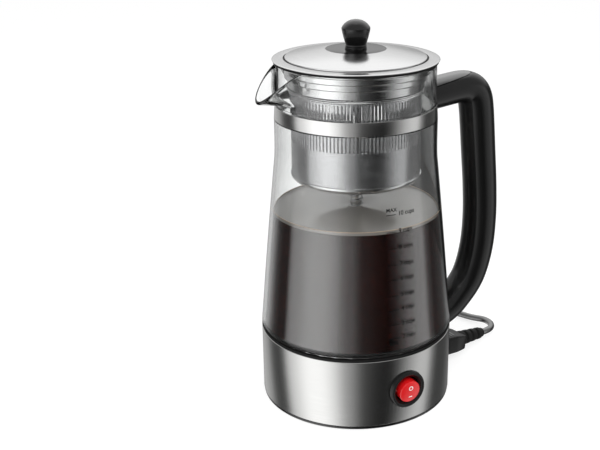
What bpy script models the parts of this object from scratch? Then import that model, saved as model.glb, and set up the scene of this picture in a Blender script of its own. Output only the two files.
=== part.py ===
"""Electric percolator: a glass carafe on a heated steel base, with its pump, basket, lid and lead.

Metres, +Z up. The origin is the centre of the base's underside. The handle points to +X,
the pouring spout to -X, and the switch and the cup scale face -Y.
"""

import math

import bmesh
import bpy
from mathutils import Vector

# Clearances and roundness
fit_gap = 0.0003
cut_overrun = 0.004
weld_distance = 0.000001
sides_large = 38
sides_medium = 24
sides_small = 16
sides_tiny = 10
full_turn = 2 * math.pi
smooth_shading_angle = math.radians(35)
curve_steps = 16

# Base shell and cover
base_radius = 0.0750
shell_wall = 0.0010
shell_bottom = 0.0030
shell_top = 0.0570
shell_edge_chamfer = 0.0006
shell_lip_width = 0.0045
foot_ring_drop = 0.0024
foot_ring_inset = 0.0004
foot_ring_width = 0.0046
cover_plate_bottom = 0.0020
cover_plate_thickness = 0.0020
cover_spigot_height = 0.0040
cover_spigot_wall = 0.0022
rubber_foot_radius = 0.0060
rubber_foot_inset = 0.0150
rubber_foot_chamfer = 0.0005
rubber_foot_count = 4

# Bolt in the middle of the base
bolt_radius = 0.0025
bolt_head_radius = 0.0050
bolt_head_height = 0.0018
bolt_well_depth = 0.0015
bolt_well_radius = 0.0065

# Seals, heated pan and what is fixed under it
seal_width = 0.0044
seal_height = 0.0017
seal_bead = 0.0004
seal_lip_rise = 0.0034
seal_lip_inset = 0.0034
seal_inner_inset = 0.0052
pan_sheet = 0.0008
pan_flange_inset = 0.0016
pan_floor_drop = 0.0123
pan_corner = 0.0037
heat_plate_radius = 0.0500
heat_plate_thickness = 0.0035
element_ring_radius = 0.0360
element_tube_radius = 0.0038
element_open_angle = math.radians(20)
element_points = 20
thermostat_radius = 0.0090
thermostat_height = 0.0060
thermostat_offset = 0.0170
fuse_radius = 0.0022
fuse_length = 0.0140
fuse_offset = 0.0160

# Glass carafe
glass_wall = 0.0026
glass_foot_inset = 0.0001
glass_neck_height = 0.0305
glass_rim_inset = 0.0003
neck_radius = 0.0600
glass_belly_shares = (
    (1.0000, 0.000),
    (0.9145, 0.078),
    (0.7285, 0.265),
    (0.4772, 0.500),
    (0.1957, 0.748),
    (0.1002, 0.842),
)
groove_depth = 0.0012
band_bottom = 0.2254
band_height = 0.0101
band_thickness = 0.0009
band_lower_fullness = 0.0013
band_upper_fullness = 0.0006
spout_depth = 0.0260
spout_length = 0.0215
spout_tip_drop = 0.0205
spout_half_angle = math.radians(29)
spout_columns = 12
spout_rows = 4
body_columns = 28
spout_fullness_share = 1.15
spout_dip_share = 1.25

# Collar tab and its screw
tab_end_margin = 0.0080
tab_half_width = 0.0060
tab_rise = 0.0036
tab_thickness = 0.0025
collar_screw_gap = 0.0087
collar_screw_radius = 0.0019
collar_screw_head_radius = 0.0033
collar_screw_head_height = 0.0030
collar_screw_well = 0.0040
collar_screw_rise = 0.0055

# Handle
handle_half_width = 0.0135
handle_half_depth = 0.0135
arm_depth_share = 0.90
handle_corner = 0.0080
handle_corner_steps = 3
handle_end_drop = 0.0170
handle_arm_rise = 0.0096
handle_projection = 0.0453
arm_end_depth = 0.0040
foot_end_depth = 0.0190
handle_route_shares = (
    (0.000, 0.987, 0.90),
    (0.275, 0.996, 0.90),
    (0.537, 1.004, 0.90),
    (0.661, 1.004, 0.91),
    (0.754, 0.995, 0.94),
    (0.821, 0.974, 0.97),
    (0.858, 0.944, 1.00),
    (0.883, 0.897, 1.00),
    (0.902, 0.841, 1.00),
    (0.938, 0.720, 1.00),
    (0.983, 0.564, 1.00),
    (1.000, 0.423, 1.00),
    (0.967, 0.287, 1.00),
    (0.851, 0.164, 0.97),
    (0.635, 0.076, 0.93),
    (0.451, 0.032, 0.90),
    (0.194, 0.000, 0.90),
)
handle_turn_share = 0.50
handle_steps = 2
cap_seam_lift = 0.0142
cap_seam_rise = 0.0073625
cap_end_inset = 0.0168
handle_screw_rise = 0.0010
handle_screw_radius = 0.0020
handle_screw_head_radius = 0.0036
handle_screw_head_height = 0.0024
handle_screw_length = 0.0160

# Pump stem
tube_radius = 0.0041
tube_bore = 0.0032
tube_bottom = 0.0560
tube_top_drop = 0.0080
foot_radius = 0.0240
foot_lip = 0.0014
foot_height = 0.0180
foot_sheet = 0.0010
foot_waist_radius = 0.0075
foot_shoulder_share = 0.62
foot_shoulder_height_share = 0.30
foot_inner_share = 0.58
foot_inner_height_share = 0.24
foot_waist_height_share = 0.62
washer_radius = 0.0095
washer_thickness = 0.0010
spring_space = 0.0331
spring_seat_thickness = 0.0015
spring_seat_radius = 0.0060
spring_wire = 0.0011
spring_curls = 7
spring_points = 9

# Basket and its cover
basket_clearance = 0.0086
basket_drop = 0.0869
basket_sheet = 0.0008
basket_corner = 0.0040
basket_corner_share = 0.30
basket_height = 0.0681
basket_rim_width = 0.0018
basket_rim_thickness = 0.0012
basket_hub_height = 0.0090
hub_wall = 0.0010
cover_drop = 0.0020
cover_hub_height = 0.0045

# Lid
lid_overhang = 0.0019
lid_rise = 0.0035
lid_sheet = 0.0010
lid_roll = 0.0007
lid_groove_inset = 0.0089
lid_groove_width = 0.0012
lid_groove_depth = 0.0009
lid_disc_radius = 0.0224
lid_disc_height = 0.0064
skirt_sheet = 0.0008
skirt_clearance = 0.0006
skirt_step_insets = (0.0000, 0.0032, 0.0062)
skirt_step_heights = (0.0032, 0.0072, 0.0060)
skirt_slope = 0.0005
gasket_inset = 0.0009

# Knob
knob_ring_radius = 0.0081
knob_ring_height = 0.0010
knob_height = 0.0194
knob_radius = 0.0106
knob_shares = (
    (0.725, 0.000),
    (0.735, 0.180),
    (0.810, 0.370),
    (0.940, 0.560),
    (1.000, 0.660),
    (0.985, 0.705),
    (0.880, 0.800),
    (0.680, 0.900),
    (0.380, 0.975),
    (0.000, 1.000),
)
knob_bore_depth = 0.0100
knob_screw_radius = 0.0020
knob_screw_head_radius = 0.0036
knob_screw_head_height = 0.0020
knob_screw_rise = 0.0085

# Rocker switch
switch_height = 0.0296
bezel_radius = 0.01535
bezel_reach = 0.0036
bezel_depth = 0.0076
bezel_chamfer = 0.0010
bezel_rim_width = 0.0022
bezel_dish_depth = 0.0022
switch_body_radius = 0.0120
switch_body_length = 0.0180
rocker_bore = 0.0103
rocker_bore_depth = 0.0121
rocker_radius = 0.0088
rocker_reach = 0.0017
rocker_depth = 0.0098
rocker_crown = 0.0007
rocker_chamfer = 0.0006
rocker_tilt = math.radians(6)
pivot_setback = 0.0056
pivot_radius = 0.0010
pivot_half_length = 0.0099
terminal_offset = 0.0045
terminal_half_thickness = 0.0004
terminal_half_height = 0.0030
terminal_length = 0.0070

# Mains inlet and connector
inlet_height = 0.0141
inlet_reach = 0.0015
inlet_depth = 0.0225
inlet_half_width = 0.0142
inlet_half_height = 0.0097
inlet_wall = 0.0019
inlet_socket_depth = 0.0185
pin_half_thickness = 0.0010
pin_half_width = 0.0022
pin_setback = 0.0065
pin_length = 0.0220
pin_spacing = 0.0070
pin_drop = 0.0020
earth_rise = 0.0030
connector_half_width = 0.0112
connector_half_height = 0.0077
connector_nose_gap = 0.0022
connector_length = 0.0428
connector_tail_length = 0.0080
connector_bevel = 0.0016
connector_tail_share = 0.82
connector_tail_drop = 0.0010
relief_dip = math.radians(6)
relief_yaw = math.radians(10)
relief_length = 0.0290
relief_root_radius = 0.0066
relief_tip_radius = 0.0048
relief_groove_depth = 0.0012
relief_ribs = 4
rib_shares = (
    (0.00, 0.0),
    (0.55, 0.0),
    (0.65, 1.0),
    (0.90, 1.0),
)

# Mains lead, coil, tie and plug
cord_diameter = 0.0056
cord_point_step = 0.0140
cord_route = (
    (0.1320, 0.0051, 0.0100),
    (0.1364, 0.0059, 0.0095),
    (0.1434, 0.0084, 0.0089),
    (0.1492, 0.0130, 0.0082),
    (0.1532, 0.0193, 0.0074),
    (0.1549, 0.0265, 0.0065),
    (0.1544, 0.0331, 0.0057),
    (0.1509, 0.0450, 0.0038),
    (0.1462, 0.0596, 0.0030),
    (0.1400, 0.0736, 0.0030),
    (0.1328, 0.0868, 0.0030),
    (0.1248, 0.0997, 0.0030),
    (0.1158, 0.1120, 0.0034),
    (0.1058, 0.1242, 0.0040),
    (0.10318, 0.12683, 0.0040),
)
coil_centre = (0.0730, 0.1050)
coil_outer_radius = 0.0368
coil_pitch = 0.0064
coil_layer_turns = 2
coil_points_per_turn = 24
coil_height = 0.0040
coil_layer_rise = 0.0061
coil_start_angle = math.radians(45)
coil_exit_angle = math.radians(14)
coil_tail = 0.0140
tie_angle = math.radians(225)
tie_thickness = 0.0009
tie_width = 0.0080
tie_clearance = 0.0006
plug_relief_length = 0.0210
plug_relief_root_radius = 0.0058
plug_relief_tip_radius = 0.0040
plug_length = 0.0300
plug_half_width = 0.0120
plug_half_height = 0.0101
plug_bevel = 0.0030
blade_length = 0.0180
blade_half_thickness = 0.00075
blade_half_width = 0.0031
blade_spacing = 0.00635
blade_rise = 0.0030
earth_pin_radius = 0.0024
earth_pin_drop = 0.0045
earth_pin_length = 0.0210

# Wires inside the base
wire_radius = 0.0011
wire_points = 9

# Places that follow from the sizes above
shell_inside = base_radius - shell_wall
rubber_foot_circle = base_radius - rubber_foot_inset
seal_lip_radius = base_radius - seal_lip_inset
seal_inner_radius = base_radius - seal_inner_inset
pan_flange_radius = base_radius - pan_flange_inset
glass_foot_radius = base_radius - glass_foot_inset
glass_rim_radius = neck_radius - glass_rim_inset
band_lower_radius = neck_radius + band_lower_fullness
band_upper_radius = neck_radius + band_upper_fullness
spout_tip_reach = neck_radius + spout_length
collar_screw_offset = band_lower_radius + collar_screw_gap
tab_reach = collar_screw_offset + tab_end_margin
handle_reach = base_radius + handle_projection
arm_start = neck_radius - arm_end_depth
foot_start = base_radius - foot_end_depth
cap_end = handle_reach - cap_end_inset
basket_radius = neck_radius - glass_wall - basket_clearance
lid_radius = neck_radius + lid_overhang
lid_groove_radius = lid_radius - lid_groove_inset
skirt_radius = neck_radius - glass_wall - skirt_clearance
skirt_step_radii = [skirt_radius - inset for inset in skirt_step_insets]
gasket_radius = lid_radius - gasket_inset
bezel_front = base_radius + bezel_reach
bezel_back = bezel_front - bezel_depth
switch_body_back = bezel_back - switch_body_length
rocker_bore_back = bezel_front - rocker_bore_depth
rocker_front = bezel_front + rocker_reach
rocker_back = rocker_front - rocker_depth
pivot_depth = bezel_front - pivot_setback
inlet_front = base_radius + inlet_reach
inlet_back = inlet_front - inlet_depth
inlet_floor = inlet_front - inlet_socket_depth
pin_front = inlet_front - pin_setback
pin_back = pin_front - pin_length
connector_nose = inlet_floor + connector_nose_gap
connector_end = connector_nose + connector_length
connector_shoulder = connector_end - connector_tail_length
seal_lower_bottom = shell_top + fit_gap
seal_lower_top = seal_lower_bottom + seal_height
pan_flange_bottom = seal_lower_top + fit_gap
pan_flange_top = pan_flange_bottom + pan_sheet
pan_radius = base_radius - shell_lip_width - shell_wall + seal_bead + fit_gap
pan_floor_bottom = pan_flange_bottom - pan_floor_drop
pan_floor_top = pan_floor_bottom + pan_sheet
seal_upper_bottom = pan_flange_top + fit_gap
seal_upper_top = seal_upper_bottom + seal_height - fit_gap
glass_bottom = seal_upper_top + fit_gap
heat_plate_top = pan_floor_bottom - fit_gap
heat_plate_bottom = heat_plate_top - heat_plate_thickness
element_height = heat_plate_bottom - fit_gap - element_tube_radius
bolt_hole_radius = bolt_radius + fit_gap
cover_plate_top = cover_plate_bottom + cover_plate_thickness
band_top = band_bottom + band_height
glass_rim_height = band_top + glass_neck_height
spout_start_height = glass_rim_height - spout_depth
spout_tip_height = glass_rim_height - spout_tip_drop
tab_bottom = band_bottom + tab_rise
handle_end_height = shell_top - handle_end_drop
handle_screw_height = handle_end_height + handle_screw_rise
handle_rise = band_bottom + handle_arm_rise - handle_end_height
cap_seam_height = band_bottom + cap_seam_lift
tube_top = glass_rim_height - tube_top_drop
basket_bottom = glass_rim_height - basket_drop
spring_seat_height = basket_bottom - spring_space
lid_top = glass_rim_height + lid_rise
lid_under = lid_top - lid_sheet - lid_roll + fit_gap
knob_ring_bottom = lid_top + lid_disc_height + fit_gap
knob_bottom = knob_ring_bottom + knob_ring_height + fit_gap
pump_bottom = pan_floor_top + fit_gap
basket_top = basket_bottom + basket_height
skirt_top = lid_under - fit_gap
tab_top = tab_bottom + tab_thickness
collar_screw_top = tab_top + collar_screw_rise
inlet_bottom = inlet_height - inlet_half_height
cord_radius = cord_diameter / 2
arm_bottom = handle_end_height + handle_rise - handle_half_depth * arm_depth_share

# The scene is emptied before the parts are made
for leftover in list(bpy.data.objects):
    bpy.data.objects.remove(leftover, do_unlink=True)


def material(name, colour, roughness, metallic=0.0, transmission=0.0):
    """A Principled material with one colour."""
    made = bpy.data.materials.new(name)
    made.use_nodes = True
    shader = made.node_tree.nodes["Principled BSDF"]
    shader.inputs["Base Color"].default_value = (*colour, 1.0)
    shader.inputs["Roughness"].default_value = roughness
    shader.inputs["Metallic"].default_value = metallic
    shader.inputs["Transmission Weight"].default_value = transmission
    made.diffuse_color = (*colour, 1.0)
    return made


brushed_steel = material("brushed_steel", (0.55, 0.55, 0.54), 0.32, 1.0)
polished_steel = material("polished_steel", (0.72, 0.72, 0.72), 0.12, 1.0)
satin_steel = material("satin_steel", (0.66, 0.66, 0.66), 0.24, 1.0)
perforated_steel = material("perforated_steel", (0.60, 0.60, 0.61), 0.30, 1.0)
clear_glass = material("clear_glass", (0.93, 0.95, 0.95), 0.02, 0.0, 1.0)
black_plastic = material("black_plastic", (0.018, 0.018, 0.018), 0.38)
black_rubber = material("black_rubber", (0.012, 0.012, 0.012), 0.60)
red_plastic = material("red_plastic", (0.78, 0.02, 0.02), 0.30)
cast_aluminium = material("cast_aluminium", (0.62, 0.62, 0.60), 0.45, 1.0)
brass = material("brass", (0.70, 0.50, 0.22), 0.30, 1.0)
white_ceramic = material("white_ceramic", (0.85, 0.84, 0.80), 0.50)
red_insulation = material("red_insulation", (0.45, 0.03, 0.02), 0.45)


def made_object(name, mesh, finish):
    """Links a mesh to the scene as an object with its material, shaded smooth where it is round."""
    thing = bpy.data.objects.new(name, mesh)
    bpy.context.scene.collection.objects.link(thing)
    mesh.materials.clear()
    mesh.materials.append(finish)
    mesh.shade_smooth()
    mesh.set_sharp_from_angle(angle=smooth_shading_angle)
    return thing


def mesh_from(name, form):
    """Turns a bmesh into a mesh whose faces all point out."""
    bmesh.ops.remove_doubles(form, verts=form.verts, dist=weld_distance)
    bmesh.ops.recalc_face_normals(form, faces=form.faces)
    mesh = bpy.data.meshes.new(name)
    form.to_mesh(mesh)
    form.free()
    return mesh


def turned_mesh(name, outline, sides):
    """Spins a closed outline of (radius, height) points round the Z axis."""
    form = bmesh.new()
    points = [form.verts.new((radius, 0, height)) for radius, height in outline]
    edges = [form.edges.new(pair) for pair in zip(points, points[1:])]
    if outline[0][0] > 0 or outline[-1][0] > 0:
        edges.append(form.edges.new((points[-1], points[0])))
    bmesh.ops.spin(
        form,
        geom=points + edges,
        axis=(0, 0, 1),
        cent=(0, 0, 0),
        angle=full_turn,
        steps=sides,
    )
    return mesh_from(name, form)


def turned(name, outline, sides, finish, place=(0, 0, 0), turn=(0, 0, 0)):
    """A turned piece, placed and rotated as an object."""
    piece = made_object(name, turned_mesh(name, outline, sides), finish)
    piece.location = place
    piece.rotation_euler = turn
    return piece


def block(name, low, high, finish, bevel=0.0):
    """A rectangular piece between two corners, with its edges rounded if asked."""
    form = bmesh.new()
    bmesh.ops.create_cube(form, size=1.0)
    middle = (Vector(low) + Vector(high)) / 2
    size = Vector(high) - Vector(low)
    bmesh.ops.scale(form, vec=size, verts=form.verts)
    piece = made_object(name, mesh_from(name, form), finish)
    piece.location = middle
    if bevel > 0:
        rounding = piece.modifiers.new("rounded_edges", "BEVEL")
        rounding.width = bevel
        rounding.segments = 2
    return piece


def prism(name, outline, half_width, finish):
    """An outline of (x, z) points, drawn out to both sides of the XZ plane."""
    form = bmesh.new()
    points = [form.verts.new((x, -half_width, z)) for x, z in outline]
    face = form.faces.new(points)
    grown = bmesh.ops.extrude_face_region(form, geom=[face])["geom"]
    moved = [item for item in grown if isinstance(item, bmesh.types.BMVert)]
    bmesh.ops.translate(form, vec=(0, 2 * half_width, 0), verts=moved)
    return made_object(name, mesh_from(name, form), finish)


def cutter(thing):
    """Marks a piece as a cutting tool, which is no part of the object."""
    thing.hide_render = True
    thing.display_type = "WIRE"
    thing.data.name = thing.name
    return thing


def combine(target, tool, operation="DIFFERENCE"):
    """Cuts, joins or trims the target with the tool."""
    step = target.modifiers.new(f"{operation.lower()}_{tool.name}", "BOOLEAN")
    step.operation = operation
    step.solver = "EXACT"
    step.object = tool
    return target


def rod_outline(radius, low, high):
    return [(0, low), (radius, low), (radius, high), (0, high)]


def drill(name, radius, start, length, turn=(0, 0, 0), sides=sides_small):
    """A round cutting tool that starts at a point and runs along its own Z axis."""
    outline = rod_outline(radius, 0, length)
    return cutter(turned(name, outline, sides, black_plastic, start, turn))


def box_cutter(name, low, high):
    return cutter(block(name, low, high, black_plastic))


along_x = (0, math.radians(90), 0)
facing_front = (math.radians(90), 0, 0)


def smooth_through(points, steps):
    """A smooth curve through the given points, with some steps from each point to the next."""
    knots = [Vector(point) for point in points]
    padded = [2 * knots[0] - knots[1], *knots, 2 * knots[-1] - knots[-2]]
    dense = []
    for before, start, end, after in zip(padded, padded[1:], padded[2:], padded[3:]):
        for index in range(steps):
            t = index / steps
            pull = 2 * before - 5 * start + 4 * end - after
            twist = 3 * start - before - 3 * end + after
            dense.append((2 * start + (end - before) * t + pull * t * t + twist * t ** 3) / 2)
    dense.append(knots[-1])
    return dense


def smooth_curve(points, step_count):
    """Points on a smooth curve through the given points, equally far apart."""
    dense = smooth_through(points, curve_steps)
    lengths = [0.0]
    for first, second in zip(dense, dense[1:]):
        lengths.append(lengths[-1] + (second - first).length)
    result = [dense[0]]
    place = 0
    for index in range(1, step_count):
        wanted = lengths[-1] * index / step_count
        while lengths[place + 1] < wanted:
            place += 1
        share = (wanted - lengths[place]) / (lengths[place + 1] - lengths[place])
        result.append(dense[place].lerp(dense[place + 1], share))
    result.append(dense[-1])
    return result


def tube_along(name, points, radius, finish, resolution=2):
    """A round solid tube along points, with closed ends."""
    curve = bpy.data.curves.new(name, "CURVE")
    curve.dimensions = "3D"
    curve.bevel_depth = radius
    curve.bevel_resolution = resolution
    curve.use_fill_caps = True
    spline = curve.splines.new("POLY")
    spline.points.add(len(points) - 1)
    for target, point in zip(spline.points, points):
        target.co = (*point, 1.0)
    curve.materials.append(finish)
    thing = bpy.data.objects.new(name, curve)
    bpy.context.scene.collection.objects.link(thing)
    return thing


def least_gap(points, diameter, skipped):
    """The least distance between a wound tube's own turns, measured on its points."""
    nearest = min(
        (first - second).length
        for index, first in enumerate(points)
        for second in points[index + skipped:]
    )
    return nearest - diameter


# Base shell and cover


def shell_outline():
    lip_inside = base_radius - shell_lip_width
    return [
        (shell_inside, shell_bottom),
        (base_radius, shell_bottom),
        (base_radius, shell_top - shell_edge_chamfer),
        (base_radius - shell_edge_chamfer, shell_top),
        (lip_inside, shell_top),
        (lip_inside, shell_top - shell_wall),
        (shell_inside, shell_top - shell_wall),
    ]


def make_base_shell():
    shell = turned("base_shell", shell_outline(), sides_large, brushed_steel)
    depth = base_radius - bezel_back + bezel_front
    start = (0, -bezel_back + cut_overrun, switch_height)
    hole = drill("cut_switch_hole", bezel_radius + fit_gap, start, depth, facing_front, sides_medium)
    combine(shell, hole)
    low = (bezel_back, -inlet_half_width - fit_gap, inlet_bottom - fit_gap)
    high = (
        inlet_front + cut_overrun,
        inlet_half_width + fit_gap,
        inlet_height + inlet_half_height + fit_gap,
    )
    combine(shell, box_cutter("cut_inlet_window", low, high))
    start = (shell_inside - cut_overrun, 0, handle_screw_height)
    length = shell_wall + 2 * cut_overrun
    hole = drill("cut_handle_screw_hole", handle_screw_radius + fit_gap, start, length, along_x)
    combine(shell, hole)


def cover_outline():
    ring_radius = base_radius - foot_ring_inset
    ring_bottom = shell_bottom - foot_ring_drop
    ring_top = shell_bottom - fit_gap
    spigot = shell_inside - fit_gap
    spigot_inside = spigot - cover_spigot_wall
    spigot_top = shell_bottom + cover_spigot_height
    well_top = cover_plate_bottom + bolt_well_depth
    well_roof = cover_plate_top + bolt_well_depth
    return [
        (bolt_hole_radius, well_top),
        (bolt_well_radius, well_top),
        (bolt_well_radius, cover_plate_bottom),
        (ring_radius - foot_ring_width, cover_plate_bottom),
        (ring_radius - foot_ring_width, ring_bottom),
        (ring_radius, ring_bottom),
        (ring_radius, ring_top),
        (spigot, ring_top),
        (spigot, spigot_top),
        (spigot_inside, spigot_top),
        (spigot_inside, cover_plate_top),
        (bolt_well_radius + cover_plate_thickness, cover_plate_top),
        (bolt_well_radius + cover_plate_thickness, well_roof),
        (bolt_hole_radius, well_roof),
    ]


def make_base_cover():
    cover = turned("base_cover", cover_outline(), sides_large, black_plastic)
    low = (
        inlet_back - fit_gap,
        -inlet_half_width - fit_gap,
        cover_plate_top + fit_gap,
    )
    high = (base_radius, inlet_half_width + fit_gap, inlet_height)
    combine(cover, box_cutter("cut_spigot_notch", low, high))


def make_rubber_feet():
    foot_top = cover_plate_bottom - fit_gap
    outline = [
        (0, 0),
        (rubber_foot_radius - rubber_foot_chamfer, 0),
        (rubber_foot_radius, rubber_foot_chamfer),
        (rubber_foot_radius, foot_top),
        (0, foot_top),
    ]
    for index in range(rubber_foot_count):
        angle = full_turn * (index + 1 / 2) / rubber_foot_count
        place = (rubber_foot_circle * math.cos(angle), rubber_foot_circle * math.sin(angle), 0)
        turned(f"rubber_foot_{index + 1}", outline, sides_small, black_rubber, place)


def make_centre_bolt():
    head_top = cover_plate_bottom + bolt_well_depth - fit_gap
    outline = [
        (0, head_top - bolt_head_height),
        (bolt_head_radius, head_top - bolt_head_height),
        (bolt_head_radius, head_top),
        (bolt_radius, head_top),
        (bolt_radius, heat_plate_top - fit_gap),
        (0, heat_plate_top - fit_gap),
    ]
    turned("centre_bolt", outline, sides_small, satin_steel)


# Seals and heated pan


def make_seals():
    outer = base_radius
    inner = outer - seal_width
    middle = seal_lower_bottom + seal_height / 2
    lower = [
        (inner, seal_lower_bottom),
        (outer - seal_bead, seal_lower_bottom),
        (outer, middle),
        (outer - seal_bead, seal_lower_top),
        (inner, seal_lower_top),
    ]
    turned("lower_seal", lower, sides_large, black_rubber)
    middle = (seal_upper_bottom + seal_upper_top) / 2
    upper = [
        (seal_inner_radius, seal_upper_bottom),
        (outer - seal_bead, seal_upper_bottom),
        (outer, middle),
        (outer - seal_bead, seal_upper_top),
        (seal_lip_radius, seal_upper_top),
        (seal_lip_radius, seal_upper_top + seal_lip_rise),
        (seal_inner_radius, seal_upper_top + seal_lip_rise),
    ]
    turned("upper_seal", upper, sides_large, black_rubber)


def make_heating_pan():
    inside = pan_radius - pan_sheet
    outline = [
        (0, pan_floor_bottom),
        (pan_radius - pan_corner, pan_floor_bottom),
        (pan_radius, pan_floor_bottom + pan_corner),
        (pan_radius, pan_flange_bottom),
        (pan_flange_radius, pan_flange_bottom),
        (pan_flange_radius, pan_flange_top),
        (inside, pan_flange_top),
        (inside, pan_floor_bottom + pan_corner),
        (pan_radius - pan_corner, pan_floor_top),
        (0, pan_floor_top),
    ]
    turned("heating_pan", outline, sides_large, polished_steel)


def make_heater():
    plate = [
        (bolt_hole_radius, heat_plate_bottom),
        (heat_plate_radius, heat_plate_bottom),
        (heat_plate_radius, heat_plate_top),
        (bolt_hole_radius, heat_plate_top),
    ]
    turned("heat_plate", plate, sides_medium, cast_aluminium)
    sweep = full_turn - 2 * element_open_angle
    points = []
    for index in range(element_points + 1):
        angle = element_open_angle + sweep * index / element_points
        across = element_ring_radius * math.cos(angle)
        along = element_ring_radius * math.sin(angle)
        points.append(Vector((across, along, element_height)))
    tube_along("heating_element", points, element_tube_radius, satin_steel, 1)
    under = heat_plate_bottom - fit_gap
    can = rod_outline(thermostat_radius, under - thermostat_height, under)
    turned("thermostat", can, sides_small, brass, (-thermostat_offset, 0, 0))
    start = (-fuse_offset / 2, -fuse_offset, under - fuse_radius)
    fuse = rod_outline(fuse_radius, 0, fuse_length)
    turned("thermal_fuse", fuse, sides_tiny, white_ceramic, start, along_x)


# Glass carafe and collar


def glass_column(angle):
    """Outer surface points, (radius, height), of the carafe at an angle away from the spout."""
    belly_height = band_bottom - glass_bottom
    belly = glass_foot_radius - neck_radius
    column = [
        (neck_radius + belly * radius_share, glass_bottom + belly_height * height_share)
        for radius_share, height_share in glass_belly_shares
    ]
    column.append((band_lower_radius, band_bottom - 2 * fit_gap))
    column.append((band_lower_radius - groove_depth, band_bottom - fit_gap))
    column.append((band_upper_radius - groove_depth, band_top + fit_gap))
    column.append((band_upper_radius, band_top + 2 * fit_gap))
    reach, rim_height = glass_rim(angle)
    for index in range(spout_rows + 1):
        share = index / spout_rows
        radius = neck_radius + (reach - neck_radius) * share ** spout_fullness_share
        column.append((radius, spout_start_height + (rim_height - spout_start_height) * share))
    return column


def glass_rim(angle):
    """Radius and height of the rim: a straight-sided beak that dips to the spout's tip."""
    if angle >= spout_half_angle:
        return glass_rim_radius, glass_rim_height
    root_along = glass_rim_radius * math.cos(spout_half_angle)
    root_across = glass_rim_radius * math.sin(spout_half_angle)
    spread = root_across * math.cos(angle) + (spout_tip_reach - root_along) * math.sin(angle)
    reach = spout_tip_reach * root_across / spread
    share = (1 - angle / spout_half_angle) ** spout_dip_share
    return reach, glass_rim_height - (glass_rim_height - spout_tip_height) * share


def column_angles():
    """Angles round the carafe, measured from the spout and closer together across it."""
    angles = [
        spout_half_angle * (2 * index / spout_columns - 1) for index in range(spout_columns)
    ]
    rest = full_turn - 2 * spout_half_angle
    angles += [spout_half_angle + rest * index / body_columns for index in range(body_columns)]
    return angles


def make_glass_carafe():
    form = bmesh.new()
    rings = []
    for angle in column_angles():
        away = min(abs(angle), full_turn - angle)
        side = [
            form.verts.new((-radius * math.cos(angle), -radius * math.sin(angle), height))
            for radius, height in glass_column(away)
        ]
        rings.append(side)
    for left, right in zip(rings, rings[1:] + rings[:1]):
        for low_left, low_right, high_left, high_right in zip(left, right, left[1:], right[1:]):
            form.faces.new((low_left, low_right, high_right, high_left))
    carafe = made_object("glass_carafe", mesh_from("glass_carafe", form), clear_glass)
    wall = carafe.modifiers.new("glass_wall", "SOLIDIFY")
    wall.thickness = glass_wall
    wall.offset = -1.0
    wall.use_even_offset = True
    wall.use_rim = True


def make_collar():
    inner_lower = band_lower_radius - band_thickness
    inner_upper = band_upper_radius - band_thickness
    outline = [
        (inner_lower, band_bottom),
        (band_lower_radius, band_bottom),
        (band_upper_radius, band_top),
        (inner_upper, band_top),
    ]
    band = turned("collar_band", outline, sides_large, brushed_steel)
    low = (band_upper_radius - band_thickness / 2, -tab_half_width, tab_bottom)
    high = (tab_reach, tab_half_width, tab_top)
    combine(band, box_cutter("collar_tab", low, high), "UNION")
    hole = (collar_screw_offset, 0, tab_bottom - cut_overrun)
    length = tab_thickness + 2 * cut_overrun
    combine(band, drill("cut_tab_hole", collar_screw_radius + fit_gap, hole, length))


# Handle


def handle_points():
    """The handle's centre line, from the collar round to the base, and its depth at each point."""
    route = []
    for out_share, up_share, depth_share in handle_route_shares:
        start = arm_start if up_share > handle_turn_share else foot_start
        out = start + (handle_reach - start) * out_share
        route.append((out, depth_share, handle_end_height + handle_rise * up_share))
    path = smooth_through(route, handle_steps)
    return [(Vector((point.x, 0, point.z)), point.y) for point in path]


def section_points():
    """Half widths of the grip's section: a rectangle with round corners."""
    points = []
    for corner in range(4):
        across = (handle_half_width - handle_corner) * (1 if corner in (0, 3) else -1)
        deep = (handle_half_depth - handle_corner) * (1 if corner in (0, 1) else -1)
        for step in range(handle_corner_steps + 1):
            angle = full_turn / 4 * (corner + step / handle_corner_steps)
            offset = (handle_corner * math.cos(angle), handle_corner * math.sin(angle))
            points.append((across + offset[0], deep + offset[1]))
    return points


def handle_sweep(name):
    """The whole grip as one solid, before it is split and drilled."""
    line = handle_points()
    form = bmesh.new()
    rings = []
    for index, (point, depth_share) in enumerate(line):
        before, _ = line[max(index - 1, 0)]
        after, _ = line[min(index + 1, len(line) - 1)]
        forward = (after - before).normalized()
        outward = Vector((-forward.z, 0, forward.x))
        ring = [
            form.verts.new(point + Vector((0, across, 0)) + outward * deep * depth_share)
            for across, deep in section_points()
        ]
        rings.append(ring)
    for first, second in zip(rings, rings[1:]):
        for index, start in enumerate(first):
            follow = (index + 1) % len(first)
            form.faces.new((start, first[follow], second[follow], second[index]))
    form.faces.new(rings[0])
    form.faces.new(list(reversed(rings[-1])))
    return made_object(name, mesh_from(name, form), black_plastic)


def seam_outline(lift, end):
    """The side view of the space above the cap's seam."""
    start = arm_start - cut_overrun
    top = handle_end_height + handle_rise + 2 * handle_half_depth
    slope = cap_seam_rise / (cap_end - arm_start)
    low = cap_seam_height + slope * (start - arm_start) + lift
    high = cap_seam_height + slope * (end - arm_start) + lift
    return [(start, low), (end, high), (end, top), (start, top)]


def neck_plug(name):
    """The carafe's outer space, which the arm's end follows."""
    clear = band_lower_radius + fit_gap
    high = handle_end_height + handle_rise + 2 * handle_half_depth
    outline = rod_outline(clear, band_bottom - 3 * handle_half_depth, high)
    return cutter(turned(name, outline, sides_large, black_plastic))


def base_plug(name):
    """The base's outer space, which the grip's foot follows."""
    high = seal_upper_top + handle_half_depth
    outline = rod_outline(base_radius + fit_gap, 0, high)
    return cutter(turned(name, outline, sides_large, black_plastic))


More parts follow.
